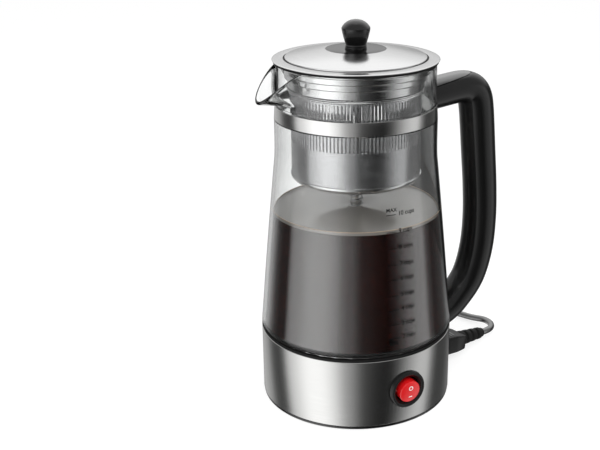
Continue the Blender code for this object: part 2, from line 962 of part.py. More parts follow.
def make_handle():
    half = handle_half_width + cut_overrun
    shell = handle_sweep("handle_shell")
    combine(shell, neck_plug("cut_neck_end"))
    combine(shell, base_plug("cut_base_end"))
    space = prism("cut_cap_space", seam_outline(0, cap_end + fit_gap), half, black_plastic)
    combine(shell, cutter(space))
    low = (arm_start, -tab_half_width - fit_gap, tab_bottom - fit_gap)
    high = (tab_reach + fit_gap, tab_half_width + fit_gap, tab_top + fit_gap)
    combine(shell, box_cutter("cut_tab_slot", low, high))
    shank = (collar_screw_offset, 0, arm_bottom - cut_overrun)
    length = collar_screw_top + fit_gap - shank[2]
    combine(shell, drill("cut_collar_screw_hole", collar_screw_radius + fit_gap, shank, length))
    length = collar_screw_well + cut_overrun
    combine(shell, drill("cut_collar_screw_well", collar_screw_head_radius + fit_gap, shank, length))
    start = (base_radius - cut_overrun, 0, handle_screw_height)
    length = handle_screw_length + cut_overrun + fit_gap
    combine(shell, drill("cut_handle_screw_bore", handle_screw_radius + fit_gap, start, length, along_x))
    cap = handle_sweep("handle_cap")
    space = prism("keep_cap_space", seam_outline(fit_gap, cap_end), half, black_plastic)
    combine(cap, cutter(space), "INTERSECT")
    combine(cap, bpy.data.objects["cut_neck_end"])


def make_collar_screw():
    head_top = arm_bottom + collar_screw_well - fit_gap
    outline = [
        (0, head_top - collar_screw_head_height),
        (collar_screw_head_radius, head_top - collar_screw_head_height),
        (collar_screw_head_radius, head_top),
        (collar_screw_radius, head_top),
        (collar_screw_radius, collar_screw_top),
        (0, collar_screw_top),
    ]
    turned("collar_screw", outline, sides_tiny, satin_steel, (collar_screw_offset, 0, 0))


def make_handle_screw():
    head_end = shell_inside - fit_gap
    outline = [
        (0, -handle_screw_head_height),
        (handle_screw_head_radius, -handle_screw_head_height),
        (handle_screw_head_radius, 0),
        (handle_screw_radius, 0),
        (handle_screw_radius, handle_screw_length),
        (0, handle_screw_length),
    ]
    place = (head_end, 0, handle_screw_height)
    turned("handle_screw", outline, sides_tiny, satin_steel, place, along_x)


# Pump stem


def make_pump():
    seat_top = spring_seat_height + spring_seat_thickness
    tube = [
        (tube_bore, tube_bottom),
        (tube_radius, tube_bottom),
        (tube_radius, spring_seat_height),
        (spring_seat_radius, spring_seat_height),
        (spring_seat_radius, seat_top),
        (tube_radius, seat_top),
        (tube_radius, tube_top),
        (tube_bore, tube_top),
    ]
    turned("pump_tube", tube, sides_small, polished_steel)
    collar = tube_radius + fit_gap
    top = pump_bottom + foot_height
    bell = [
        (foot_radius - foot_sheet, pump_bottom),
        (foot_radius, pump_bottom),
        (foot_radius, pump_bottom + foot_lip),
        (foot_radius * foot_shoulder_share, pump_bottom + foot_height * foot_shoulder_height_share),
        (foot_waist_radius, pump_bottom + foot_height * foot_waist_height_share),
        (collar + foot_sheet, top),
        (collar, top),
        (collar, tube_bottom),
        (foot_waist_radius - foot_sheet, tube_bottom),
        (foot_radius * foot_inner_share, pump_bottom + foot_height * foot_inner_height_share),
        (foot_radius - foot_sheet, pump_bottom + foot_lip / 2),
    ]
    turned("pump_foot", bell, sides_medium, polished_steel)
    washer = [
        (tube_bore, pump_bottom),
        (washer_radius, pump_bottom),
        (washer_radius, pump_bottom + washer_thickness),
        (tube_bore, pump_bottom + washer_thickness),
    ]
    turned("valve_washer", washer, sides_small, satin_steel)


def spring_line():
    """One unbroken wire: level ends against the seat and the basket, and free curls between."""
    wire_radius_here = spring_wire / 2
    low = spring_seat_height + spring_seat_thickness + fit_gap + wire_radius_here
    high = basket_bottom - fit_gap - wire_radius_here
    radius = tube_radius + 2 * fit_gap + wire_radius_here
    steps = spring_curls * spring_points
    points = []
    for index in range(steps + 1):
        angle = full_turn * index / spring_points
        height = low + (high - low) * index / steps
        points.append(Vector((radius * math.cos(angle), radius * math.sin(angle), height)))
    lead = Vector((0, spring_wire, 0))
    points.insert(0, points[0] - lead)
    points.append(points[-1] + lead)
    return points


def make_spring():
    points = spring_line()
    tube_along("pump_spring", points, spring_wire / 2, satin_steel, 1)
    print(f"pump_spring least gap {least_gap(points, spring_wire, spring_points // 2) * 1000:.2f} mm")


# Basket and its cover


def make_basket():
    inside = basket_radius - basket_sheet
    hub = tube_radius + fit_gap
    floor_top = basket_bottom + basket_sheet
    rim_bottom = basket_top - basket_rim_thickness
    corner_half = basket_corner * basket_corner_share
    outline = [
        (hub, basket_bottom),
        (basket_radius - basket_corner, basket_bottom),
        (basket_radius - corner_half, basket_bottom + corner_half),
        (basket_radius, basket_bottom + basket_corner),
        (basket_radius, rim_bottom),
        (basket_radius + basket_rim_width, rim_bottom),
        (basket_radius + basket_rim_width, basket_top),
        (inside, basket_top),
        (inside, basket_bottom + basket_corner),
        (inside - corner_half, floor_top + corner_half),
        (inside - basket_corner, floor_top),
        (hub + hub_wall, floor_top),
        (hub + hub_wall, basket_bottom + basket_hub_height),
        (hub, basket_bottom + basket_hub_height),
    ]
    turned("basket", outline, sides_large, perforated_steel)


def make_basket_cover():
    hub = tube_radius + fit_gap
    plug = basket_radius - basket_sheet - fit_gap
    low = basket_top - cover_drop
    lip_bottom = basket_top + fit_gap
    outline = [
        (hub, low),
        (plug, low),
        (plug, lip_bottom),
        (basket_radius + basket_rim_width, lip_bottom),
        (basket_radius + basket_rim_width, lip_bottom + basket_sheet),
        (plug - basket_sheet, lip_bottom + basket_sheet),
        (plug - basket_sheet, low + basket_sheet),
        (hub + hub_wall, low + basket_sheet),
        (hub + hub_wall, low + cover_hub_height),
        (hub, low + cover_hub_height),
    ]
    turned("basket_cover", outline, sides_large, satin_steel)


# Lid and knob


def make_lid_plate():
    hole = knob_screw_radius + fit_gap
    groove_in = lid_groove_radius - lid_groove_width / 2
    groove_out = lid_groove_radius + lid_groove_width / 2
    disc_top = lid_top + lid_disc_height
    slope_foot = lid_top + lid_roll
    outline = [
        (hole, disc_top - lid_sheet),
        (lid_disc_radius, disc_top - lid_sheet),
        (groove_in - lid_sheet, slope_foot - lid_sheet),
        (groove_in - lid_sheet, lid_under),
        (lid_radius - lid_roll, lid_under),
        (lid_radius, lid_under + lid_roll / 2),
        (lid_radius, lid_top - lid_roll / 2),
        (lid_radius - lid_roll, lid_top),
        (groove_out, lid_top),
        (groove_out, lid_top - lid_groove_depth),
        (groove_in, lid_top - lid_groove_depth),
        (groove_in, slope_foot),
        (lid_disc_radius, disc_top),
        (hole, disc_top),
    ]
    turned("lid_plate", outline, sides_large, satin_steel)


def make_lid_skirt():
    outer = []
    inner = []
    height = skirt_top
    for radius, drop in zip(skirt_step_radii, skirt_step_heights):
        low = height - drop
        inside = radius - skirt_sheet
        outer += [(radius, height), (radius, low + skirt_slope)]
        inner += [(inside, height + skirt_sheet), (inside, low + skirt_slope + skirt_sheet)]
        height = low
    inner[0] = (skirt_step_radii[0] - skirt_sheet, skirt_top)
    outer[-1] = (skirt_step_radii[-1], height)
    inner[-1] = (skirt_step_radii[-1] - skirt_sheet, height)
    turned("lid_skirt", outer + list(reversed(inner)), sides_large, polished_steel)


def make_lid_gasket():
    inner = skirt_step_radii[0] + fit_gap
    low = glass_rim_height + fit_gap
    high = lid_under - fit_gap
    outline = [(inner, low), (gasket_radius, low), (gasket_radius, high), (inner, high)]
    turned("lid_gasket", outline, sides_large, black_rubber)


def make_knob():
    hole = knob_screw_radius + fit_gap
    ring_top = knob_ring_bottom + knob_ring_height
    ring = [
        (hole, knob_ring_bottom),
        (knob_ring_radius, knob_ring_bottom),
        (knob_ring_radius, ring_top),
        (hole, ring_top),
    ]
    turned("knob_ring", ring, sides_medium, polished_steel)
    bore_top = knob_bottom + knob_bore_depth
    outline = [(0, bore_top), (hole, bore_top), (hole, knob_bottom)]
    for radius_share, height_share in knob_shares:
        outline.append((knob_radius * radius_share, knob_bottom + knob_height * height_share))
    turned("knob", outline, sides_medium, black_plastic)
    head_top = lid_top + lid_disc_height - lid_sheet - fit_gap
    tip = knob_bottom + knob_screw_rise
    screw = [
        (0, head_top - knob_screw_head_height),
        (knob_screw_head_radius, head_top - knob_screw_head_height),
        (knob_screw_head_radius, head_top),
        (knob_screw_radius, head_top),
        (knob_screw_radius, tip),
        (0, tip),
    ]
    turned("knob_screw", screw, sides_tiny, satin_steel)


# Rocker switch


def make_switch():
    front = bezel_front
    outline = [
        (0, switch_body_back),
        (switch_body_radius, switch_body_back),
        (switch_body_radius, bezel_back),
        (bezel_radius, bezel_back),
        (bezel_radius, front - bezel_chamfer),
        (bezel_radius - bezel_chamfer, front),
        (bezel_radius - bezel_rim_width, front),
        (rocker_bore, front - bezel_dish_depth),
        (rocker_bore, rocker_bore_back),
        (0, rocker_bore_back),
    ]
    place = (0, 0, switch_height)
    turned("switch_housing", outline, sides_medium, black_plastic, place, facing_front)
    holder = bpy.data.objects.new("rocker_axis", None)
    holder.location = (0, -pivot_depth, switch_height)
    holder.rotation_euler = (rocker_tilt, 0, 0)
    bpy.context.scene.collection.objects.link(holder)
    face = rocker_front - pivot_depth
    back = rocker_back - pivot_depth
    button = [
        (0, back),
        (rocker_radius, back),
        (rocker_radius, face - rocker_chamfer - rocker_crown),
        (rocker_radius - rocker_chamfer, face - rocker_crown),
        (rocker_radius / 2, face - rocker_crown / 4),
        (0, face),
    ]
    rocker = turned("rocker", button, sides_medium, red_plastic, (0, 0, 0), facing_front)
    rocker.parent = holder
    pin_start = (-pivot_half_length - cut_overrun, -pivot_depth, switch_height)
    length = 2 * (pivot_half_length + cut_overrun)
    hole = drill("cut_pivot_hole", pivot_radius + fit_gap, pin_start, length, along_x, sides_tiny)
    combine(rocker, hole)
    pin = rod_outline(pivot_radius, 0, 2 * pivot_half_length)
    start = (-pivot_half_length, -pivot_depth, switch_height)
    turned("rocker_pin", pin, sides_tiny, satin_steel, start, along_x)
    for side, label in ((1, "line"), (-1, "load")):
        middle = terminal_offset * side
        back = -switch_body_back + fit_gap
        low = (middle - terminal_half_thickness, back, switch_height - terminal_half_height)
        high = (
            middle + terminal_half_thickness,
            back + terminal_length,
            switch_height + terminal_half_height,
        )
        block(f"switch_terminal_{label}", low, high, brass)


# Mains inlet, connector and strain relief


def pin_places():
    """Name, sideways place and height of the inlet's three pins."""
    return (
        ("live", -pin_spacing, inlet_height - pin_drop),
        ("neutral", pin_spacing, inlet_height - pin_drop),
        ("earth", 0, inlet_height + earth_rise),
    )


def make_inlet():
    low = (inlet_back, -inlet_half_width, inlet_bottom)
    high = (inlet_front, inlet_half_width, inlet_height + inlet_half_height)
    socket = block("inlet_socket", low, high, black_plastic)
    half_width = inlet_half_width - inlet_wall
    half_height = connector_half_height + fit_gap
    low = (inlet_floor, -half_width, inlet_height - half_height)
    high = (inlet_front + cut_overrun, half_width, inlet_height + half_height)
    combine(socket, box_cutter("cut_inlet_recess", low, high))
    for label, across, height in pin_places():
        low = (pin_back, across - pin_half_thickness, height - pin_half_width)
        high = (pin_front, across + pin_half_thickness, height + pin_half_width)
        block(f"inlet_pin_{label}", low, high, brass)
        grown_low = tuple(value - fit_gap for value in low)
        grown_high = tuple(value + fit_gap for value in high)
        slot = box_cutter(f"cut_pin_{label}", grown_low, grown_high)
        combine(socket, slot)


def make_connector():
    """A moulded plug-in connector whose tail draws in towards its strain relief."""
    form = bmesh.new()
    rings = []
    for place, share, tail in (
        (connector_nose, 1, 0),
        (connector_shoulder, 1, 0),
        (connector_end, connector_tail_share, 1),
    ):
        wide = connector_half_width * share
        tall = connector_half_height * share
        cut = connector_bevel * share
        corners = (
            (-wide, -tall + cut), (-wide + cut, -tall), (wide - cut, -tall), (wide, -tall + cut),
            (wide, tall - cut), (wide - cut, tall), (-wide + cut, tall), (-wide, tall - cut),
        )
        ring = []
        for across, up in corners:
            lean = up * math.tan(relief_dip) - across * math.tan(relief_yaw)
            height = inlet_height - connector_tail_drop * tail + up
            ring.append(form.verts.new((place + lean * tail, across, height)))
        rings.append(ring)
    for first, second in zip(rings, rings[1:]):
        for index, start in enumerate(first):
            follow = (index + 1) % len(first)
            form.faces.new((start, first[follow], second[follow], second[index]))
    form.faces.new(rings[0])
    form.faces.new(rings[-1])
    body = made_object("connector", mesh_from("connector", form), black_plastic)
    for label, _, _ in pin_places():
        combine(body, bpy.data.objects[f"cut_pin_{label}"])


def ribbed_outline(length, root_radius, tip_radius, groove_depth_here, ribs):
    """A tapered strain relief with grooves between its ribs."""
    outline = [(0, 0)]
    for index in range(ribs):
        for share, drop in rib_shares:
            along = (index + share) / ribs
            radius = root_radius + (tip_radius - root_radius) * along
            outline.append((radius - groove_depth_here * drop, length * along))
    outline.append((tip_radius - groove_depth_here / 2, length))
    outline.append((0, length))
    return outline


def make_strain_relief():
    outline = ribbed_outline(
        relief_length, relief_root_radius, relief_tip_radius, relief_groove_depth, relief_ribs
    )
    level = math.cos(relief_dip)
    across = level * math.sin(relief_yaw)
    forward = Vector((level * math.cos(relief_yaw), across, -math.sin(relief_dip)))
    place = Vector((connector_end, 0, inlet_height - connector_tail_drop)) + forward * fit_gap
    relief = turned("strain_relief", outline, sides_small, black_rubber, place)
    relief.rotation_euler = forward.to_track_quat("Z", "Y").to_euler()


# Mains lead, coil, tie and plug


def make_cord():
    points = [Vector(point) for point in cord_route]
    length = sum((second - first).length for first, second in zip(points, points[1:]))
    steps = round(length / cord_point_step)
    line = [points[0], *smooth_curve(cord_route[1:-1], steps), points[-1]]
    tube_along("power_cord", line, cord_radius, black_rubber, 2)


def coil_frame(angle):
    """Outward and forward directions at an angle round the coil."""
    outward = Vector((math.cos(angle), math.sin(angle), 0))
    forward = Vector((-math.sin(angle), math.cos(angle), 0))
    return outward, forward


def coil_line():
    """The wound length: in along the lower layer, up where it reverses, and out along the upper."""
    centre = Vector((*coil_centre, 0))
    half_turn = math.pi
    layer_angle = full_turn * coil_layer_turns - half_turn / 2
    turning = layer_angle + half_turn / 2
    total = 2 * turning + coil_exit_angle
    steps = round(total / full_turn * coil_points_per_turn)
    points = []
    for index in range(steps + 1):
        swept = total * index / steps
        inward = min(swept, 2 * turning - swept)
        radius = coil_outer_radius - coil_pitch * max(inward, 0) / full_turn
        climb = min(max((swept - layer_angle) / half_turn, 0), 1)
        height = coil_height + coil_layer_rise * (1 - math.cos(math.pi * climb)) / 2
        outward, _ = coil_frame(coil_start_angle + swept)
        points.append(centre + outward * radius + Vector((0, 0, height)))
    _, forward = coil_frame(coil_start_angle)
    points.insert(0, points[0] - forward * cord_diameter)
    _, forward = coil_frame(coil_start_angle + total)
    points.append(points[-1] + forward * coil_tail)
    return points, forward


def make_coil():
    points, _ = coil_line()
    tube_along("cord_coil", points, cord_radius, black_rubber, 1)
    gap = least_gap(points, cord_diameter, coil_points_per_turn // 2)
    length = sum((second - first).length for first, second in zip(points, points[1:]))
    print(f"cord_coil least gap {gap * 1000:.2f} mm, wound length {length:.3f} m")


def make_cord_tie():
    """A flat strap once round all the turns."""
    inner_turn = coil_outer_radius - coil_pitch * (coil_layer_turns - 1 / 2)
    outer_turn = coil_outer_radius - coil_pitch / 2
    near = inner_turn - cord_radius - tie_clearance
    far = outer_turn + cord_radius + tie_clearance
    low = coil_height - cord_radius - fit_gap
    high = coil_height + coil_layer_rise + cord_radius + fit_gap
    outward, _ = coil_frame(tie_angle)
    place = Vector((*coil_centre, 0)) + outward * (near + far) / 2
    half_length = (far - near) / 2
    rise = (high - low) / 2
    height = (high + low) / 2
    low_corner = (-half_length - tie_thickness, -tie_width / 2, height - rise - tie_thickness)
    high_corner = (half_length + tie_thickness, tie_width / 2, height + rise + tie_thickness)
    strap = block("cord_tie", low_corner, high_corner, black_rubber)
    window_low = (-half_length, -tie_width, height - rise)
    window_high = (half_length, tie_width, height + rise)
    window = box_cutter("cut_tie_window", window_low, window_high)
    for piece in (strap, window):
        piece.location = place + Vector((0, 0, height))
        piece.rotation_euler = (0, 0, tie_angle)
    combine(strap, window)


def make_plug():
    """A moulded mains plug with two flat blades and a round earth pin, lying beside the coil."""
    points, forward = coil_line()
    start = points[-1] + forward * fit_gap
    turn = math.atan2(forward.y, forward.x)
    outline = ribbed_outline(
        plug_relief_length,
        plug_relief_tip_radius,
        plug_relief_root_radius,
        -relief_groove_depth / 2,
        relief_ribs,
    )
    relief = turned("plug_relief", outline, sides_small, black_rubber, start)
    relief.rotation_euler = forward.to_track_quat("Z", "Y").to_euler()
    body_start = start + forward * (plug_relief_length + fit_gap)
    low = (-plug_length / 2, -plug_half_width, -plug_half_height)
    high = (plug_length / 2, plug_half_width, plug_half_height)
    body = block("mains_plug", low, high, black_plastic, plug_bevel)
    body.location = body_start + forward * plug_length / 2
    body.rotation_euler = (0, 0, turn)
    face = body_start + forward * (plug_length + fit_gap)
    for side, label in ((1, "live"), (-1, "neutral")):
        low = (0, blade_spacing * side - blade_half_thickness, blade_rise - blade_half_width)
        high = (
            blade_length,
            blade_spacing * side + blade_half_thickness,
            blade_rise + blade_half_width,
        )
        blade = block(f"plug_blade_{label}", low, high, brass)
        offset = Vector(blade.location)
        sideways = Vector((-forward.y, forward.x, 0))
        blade.location = face + forward * offset.x + sideways * offset.y + Vector((0, 0, offset.z))
        blade.rotation_euler = (0, 0, turn)
    pin_place = face - Vector((0, 0, earth_pin_drop))
    outline = rod_outline(earth_pin_radius, 0, earth_pin_length)
    pin = turned("plug_earth_pin", outline, sides_tiny, brass, pin_place)
    pin.rotation_euler = forward.to_track_quat("Z", "Y").to_euler()


# Wires inside the base


def make_wires():
    """Insulated wires from the inlet's pins to the switch, the heating element and the heat plate."""
    gap = fit_gap
    pin_height = inlet_height - pin_drop
    pin_end = pin_back - 2 * gap
    terminal_end = -switch_body_back + terminal_length + 2 * gap
    end_angle = element_open_angle
    face_x = element_ring_radius * math.cos(end_angle)
    face_y = element_ring_radius * math.sin(end_angle)
    lead = element_tube_radius
    low_row = (pin_height + switch_height) / 2
    routes = {
        "wire_live": (
            (pin_end, -pin_spacing, pin_height),
            (pin_end - 2 * lead, -pin_spacing, pin_height),
            (heat_plate_radius / 2, terminal_end / 2, low_row),
            (terminal_offset + lead, terminal_end + 2 * lead, switch_height),
            (terminal_offset, terminal_end, switch_height),
        ),
        "wire_load": (
            (-terminal_offset, terminal_end, switch_height),
            (-terminal_offset, terminal_end + 2 * lead, switch_height),
            (face_x / 2, -face_y - lead, switch_height),
            (face_x - lead, -face_y / 2, element_height - 2 * lead),
            (face_x + gap, -face_y + 2 * lead, element_height - lead / 2),
            (face_x + gap, -face_y + 2 * gap, element_height),
        ),
        "wire_neutral": (
            (pin_end, pin_spacing, pin_height),
            (pin_end - 2 * lead, pin_spacing, pin_height),
            (face_x, face_y / 2, low_row),
            (face_x + gap, face_y - 2 * lead, element_height - lead),
            (face_x + gap, face_y - 2 * gap, element_height),
        ),
        "wire_earth": (
            (pin_end, 0, inlet_height + earth_rise),
            (pin_end - 2 * lead, 0, inlet_height + earth_rise),
            (fuse_offset + 2 * lead, 2 * lead, low_row + lead),
            (fuse_offset, 4 * lead, element_height - lead),
            (fuse_offset, 4 * lead, heat_plate_bottom - gap),
        ),
    }
    for name, route in routes.items():
        tube_along(name, smooth_curve(route, wire_points), wire_radius, red_insulation, 1)


make_base_shell()
make_base_cover()
make_rubber_feet()
make_centre_bolt()
make_seals()
make_heating_pan()
make_heater()
make_glass_carafe()
make_collar()
make_handle()
make_collar_screw()
make_handle_screw()
make_pump()
make_spring()
make_basket()
make_basket_cover()
make_lid_plate()
make_lid_skirt()
make_lid_gasket()
make_knob()
make_switch()
make_inlet()
make_connector()
make_strain_relief()
make_cord()
make_coil()
make_cord_tie()
make_plug()
make_wires()
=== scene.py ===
"""Electric percolator, dressed for a studio photograph: clear glass over a brushed steel base.

Metres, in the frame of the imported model: +Z up, the handle to +X, the spout to -X and the
switch and the cup scale to -Y. Every piece sits where its solid is and rides on that body.
"""

import math

import bmesh
import bpy
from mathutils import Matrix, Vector


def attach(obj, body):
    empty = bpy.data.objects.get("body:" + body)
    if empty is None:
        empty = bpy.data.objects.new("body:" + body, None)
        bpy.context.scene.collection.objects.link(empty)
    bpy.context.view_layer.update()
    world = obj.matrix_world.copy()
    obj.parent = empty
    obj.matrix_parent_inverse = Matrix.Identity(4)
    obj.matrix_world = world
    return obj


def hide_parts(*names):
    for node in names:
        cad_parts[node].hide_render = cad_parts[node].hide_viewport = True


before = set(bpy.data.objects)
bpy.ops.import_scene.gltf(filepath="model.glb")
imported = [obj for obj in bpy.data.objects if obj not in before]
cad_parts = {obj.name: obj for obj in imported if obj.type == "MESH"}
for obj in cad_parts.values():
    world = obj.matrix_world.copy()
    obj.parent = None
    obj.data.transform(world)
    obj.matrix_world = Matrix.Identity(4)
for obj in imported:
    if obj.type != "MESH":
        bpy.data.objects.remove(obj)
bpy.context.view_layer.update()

# Roundness and clearances
full_turn = 2 * math.pi
facing_front = (math.pi / 2, 0, 0)
fine_sides = 160
switch_sides = 128
knob_sides = 120
medium_sides = 96
small_sides = 64
mark_sides = 48
edge_radius = 0.0003
fine_edge = 0.0002
medium_edge = 0.0004
soft_edge = 0.0005
broad_edge = 0.0007
skin_gap = 0.0001
weld_distance = 0.0000005
sharp_angle = math.radians(40)
straight_angle = math.radians(160)
corner_share = 0.45
route_steps = 8

# Camera, as fitted to the photograph
near_clip = 0.01
image_width = 600
lens_px = 1065.6
sensor_width = 36.0
axis_px = 355.9
camera_distance = 0.7758
camera_height = 0.42688
camera_pitch = math.radians(20.44)
camera_turn = math.radians(31)

# Sizes of the base, shared with the solids
base_radius = 0.0750
shell_wall = 0.0010
shell_bottom = 0.0030
shell_top = 0.0570
shell_lip_width = 0.0045
foot_ring_drop = 0.0024
foot_ring_inset = 0.0004
foot_ring_width = 0.0046
cover_plate_bottom = 0.0020
cover_plate_thickness = 0.0020
cover_spigot_height = 0.0040
cover_spigot_wall = 0.0022
bolt_hole_radius = 0.0028
bolt_well_depth = 0.0015
bolt_well_radius = 0.0065
seal_width = 0.0044
seal_bead = 0.0004
seal_lip_rise = 0.0034
seal_lip_radius = 0.0716
seal_inner_radius = 0.0698
seal_lower_bottom = 0.0573
seal_lower_top = 0.0590
seal_upper_bottom = 0.0604
seal_upper_top = 0.0618
fit_gap = 0.0003
cut_overrun = 0.004

# Glass, collar and coffee
glass_bottom = 0.0621
glass_wall = 0.0026
glass_foot_radius = 0.0749
glass_rim_radius = 0.0597
glass_rim_height = 0.2660
neck_radius = 0.0600
belly_shares = (
    (1.0000, 0.000),
    (0.9145, 0.078),
    (0.7285, 0.265),
    (0.4772, 0.500),
    (0.1957, 0.748),
    (0.1002, 0.842),
)
groove_depth = 0.0012
band_bottom = 0.2254
band_top = 0.2355
band_thickness = 0.0009
band_lower_radius = 0.0613
band_upper_radius = 0.0606
spout_start_height = 0.2400
spout_tip_reach = 0.0808
spout_tip_height = 0.2436
spout_half_angle = math.radians(25)
spout_fullness_share = 1.15
spout_dip_share = 1.40
spout_columns = 56
body_columns = 120
neck_rows = 12
belly_steps = 5
bead_share = 0.8
tab_reach = 0.0780
tab_half_width = 0.0060
tab_bottom = 0.2290
tab_top = 0.2315
coffee_level = 0.1540
coffee_bottom = 0.0485
coffee_pan_radius = 0.0690
coffee_corner_width = 0.0035
coffee_corner_height = 0.0040
coffee_step_rise = 0.0008
coffee_wall_rise = 0.0012
coffee_top_depth = 0.0010
coffee_waist_share = 0.3
coffee_bell_shares = (0.66, 0.34)
surface_depth = 0.0009
surface_gap = 0.00002
meniscus_rise = 0.0012
meniscus_width = 0.0022
glass_meniscus_shares = ((0.0, 1.0), (0.15, 0.55), (0.45, 0.15), (1.0, 0.0))
tube_meniscus_shares = ((0.6, 0.0), (0.2, 0.3), (0.0, 0.8))
coffee_line_width = 0.0005

# Studio, card, floor and lights; the pattern is (degrees round from the camera, level)
world_camera_azimuth = math.radians(-121)
studio_pattern = (
    (-180, 0.30), (-155, 0.36), (-134, 0.29), (-120, 0.08), (-108, 0.03), (-96, 0.04),
    (-91, 0.36), (-85, 0.56), (-76, 0.66), (-66, 0.86), (-58, 0.98), (-40, 0.98), (-33, 0.86),
    (-24, 0.68), (-17, 0.42), (-10, 0.28), (-4, 0.23), (2, 0.12), (8, 0.05), (26, 0.018),
    (40, 0.008), (50, 0.05), (60, 0.18), (70, 0.34), (82, 0.48), (95, 0.48), (102, 0.14),
    (112, 0.03), (137, 0.05), (163, 0.14), (180, 0.30),
)
studio_strength = 1.6
overhead_start = math.radians(3)
overhead_full = math.radians(15)
side_level = 0.26
back_level = 0.50
back_panel_start = math.radians(16)
back_panel_full = math.radians(33)
back_panel_level = 0.72
card_near, card_far = 1.035, 2.08
card_near_left, card_far_left, card_right = 0.0588, 0.110, 1.0
card_level = 0.012
soft_level = 0.62
floor_glow = 0.6
floor_white = 1.25
floor_grey = 0.95
floor_reach = 3.0
light_aim_height = 0.12
key_power = 9.0
fill_power = 3.0

# Cup scale printed on the glass
scale_heights = (0.1674, 0.1546, 0.1423, 0.1298, 0.1186, 0.1065, 0.0956, 0.0841, 0.0734)
most_cups = 10
tick_start = math.radians(-101.5)
tick_end = math.radians(-94.9)
text_start = math.radians(-93.2)
letter_weight = 0.00006
letter_depth = 0.00003
word_size = 0.0046
cups_rise_share = 0.1
limit_size_share = 0.85
max_rise_share = 0.75
min_drop_share = 0.85
tick_thickness = 0.0005
tick_segments = 8
print_lift = 0.00012

# Handle
handle_half_width = 0.0135
handle_half_depth = 0.0135
handle_corner = 0.0122
handle_corner_steps = 10
handle_end_height = 0.0400
handle_rise = 0.1950
handle_reach = 0.1203
handle_start = 0.0560
handle_route_shares = (
    (0.000, 0.987, 0.90),
    (0.275, 0.996, 0.90),
    (0.537, 1.004, 0.90),
    (0.661, 1.004, 0.91),
    (0.754, 0.995, 0.94),
    (0.821, 0.974, 0.97),
    (0.858, 0.944, 1.00),
    (0.883, 0.897, 1.00),
    (0.902, 0.841, 1.00),
    (0.938, 0.720, 1.00),
    (0.983, 0.564, 1.00),
    (1.000, 0.423, 1.00),
    (0.967, 0.287, 1.00),
    (0.851, 0.164, 0.97),
    (0.635, 0.076, 0.93),
    (0.451, 0.032, 0.90),
    (0.194, 0.000, 0.90),
)
cap_seam_height = 0.2396
cap_seam_rise = 0.0073625
cap_end = 0.1035
seam_width = 0.0006

# Pump, basket and basket cover
tube_radius = 0.0041
tube_bore = 0.0032
tube_bottom = 0.0560
tube_top = 0.2580
pump_bottom = 0.0481
foot_radius = 0.0240
foot_lip = 0.0014
foot_height = 0.0180
foot_sheet = 0.0010
foot_waist_radius = 0.0075
bell_outer_shares = (0.62, 0.30)
bell_inner_shares = (0.58, 0.24)
bell_waist_share = 0.62
spring_seat_height = 0.1460
spring_seat_thickness = 0.0015
spring_seat_radius = 0.0060
spring_wire = 0.0011
spring_curls = 7
spring_curl_points = 36
spring_resolution = 4
basket_radius = 0.0488
basket_bottom = 0.1791
basket_top = 0.2472
basket_sheet = 0.0008
basket_corner = 0.0040
basket_rim_width = 0.0018
basket_rim_thickness = 0.0012
basket_hub_height = 0.0090
hub_wall = 0.0010
cover_drop = 0.0020
cover_hub_height = 0.0045
cover_rows = 24
cover_columns = 120
cover_hole_rows = (5, 8, 11, 14, 17, 20)
cover_hole_shares = (0.7, 0.6)
cover_hole_every = 4
mesh_columns = 216
floor_rows = 28
corner_rows = 8
petals = 4
petal_shares = (0.62, 0.62)
petal_radius = 0.012
petal_start_share = 0.18
petal_end_share = 0.92
petal_width_share = 0.80
petal_length_share = 1.15
petal_power = 0.6
slot_shares = (0.80, 0.92)
slot_heights = (0.2090, 0.2262, 0.2276, 0.2448)
basket_see_through = 0.66
basket_foot_gap = 0.0001
basket_foot_sheet = 0.0006

# Lid and knob
lid_radius = 0.0619
lid_top = 0.2695
lid_sheet = 0.0010
lid_roll = 0.0007
lid_groove_radius = 0.0530
lid_groove_width = 0.0012
lid_groove_depth = 0.0009
lid_disc_radius = 0.0224
lid_disc_height = 0.0064
lid_under = 0.2681
lid_flange_fall = 0.0004
disc_edge = 0.0001
skirt_sheet = 0.0008
skirt_step_radii = (0.0568, 0.0550, 0.0530, 0.0506)
skirt_step_heights = (0.0036, 0.0044, 0.0048, 0.0060)
skirt_slope = 0.0005
skirt_top = 0.2678
gasket_radius = 0.0610
gasket_lift = 0.0002
knob_ring_radius = 0.0081
knob_ring_bottom = 0.2762
knob_ring_height = 0.0010
knob_bottom = 0.2775
knob_height = 0.0194
knob_radius = 0.0106
knob_hole = 0.0023
knob_bore_depth = 0.0100
knob_seam_share = 0.97
knob_shares = (
    (0.745, 0.000),
    (0.745, 0.045),
    (0.710, 0.068),
    (0.745, 0.120),
    (0.800, 0.205),
    (0.877, 0.352),
    (0.950, 0.516),
    (0.985, 0.610),
    (1.000, 0.662),
)
knob_cap_shares = (
    (1.000, 0.684),
    (0.980, 0.710),
    (0.915, 0.765),
    (0.800, 0.840),
    (0.640, 0.910),
    (0.450, 0.962),
    (0.230, 0.992),
    (0.000, 1.000),
)

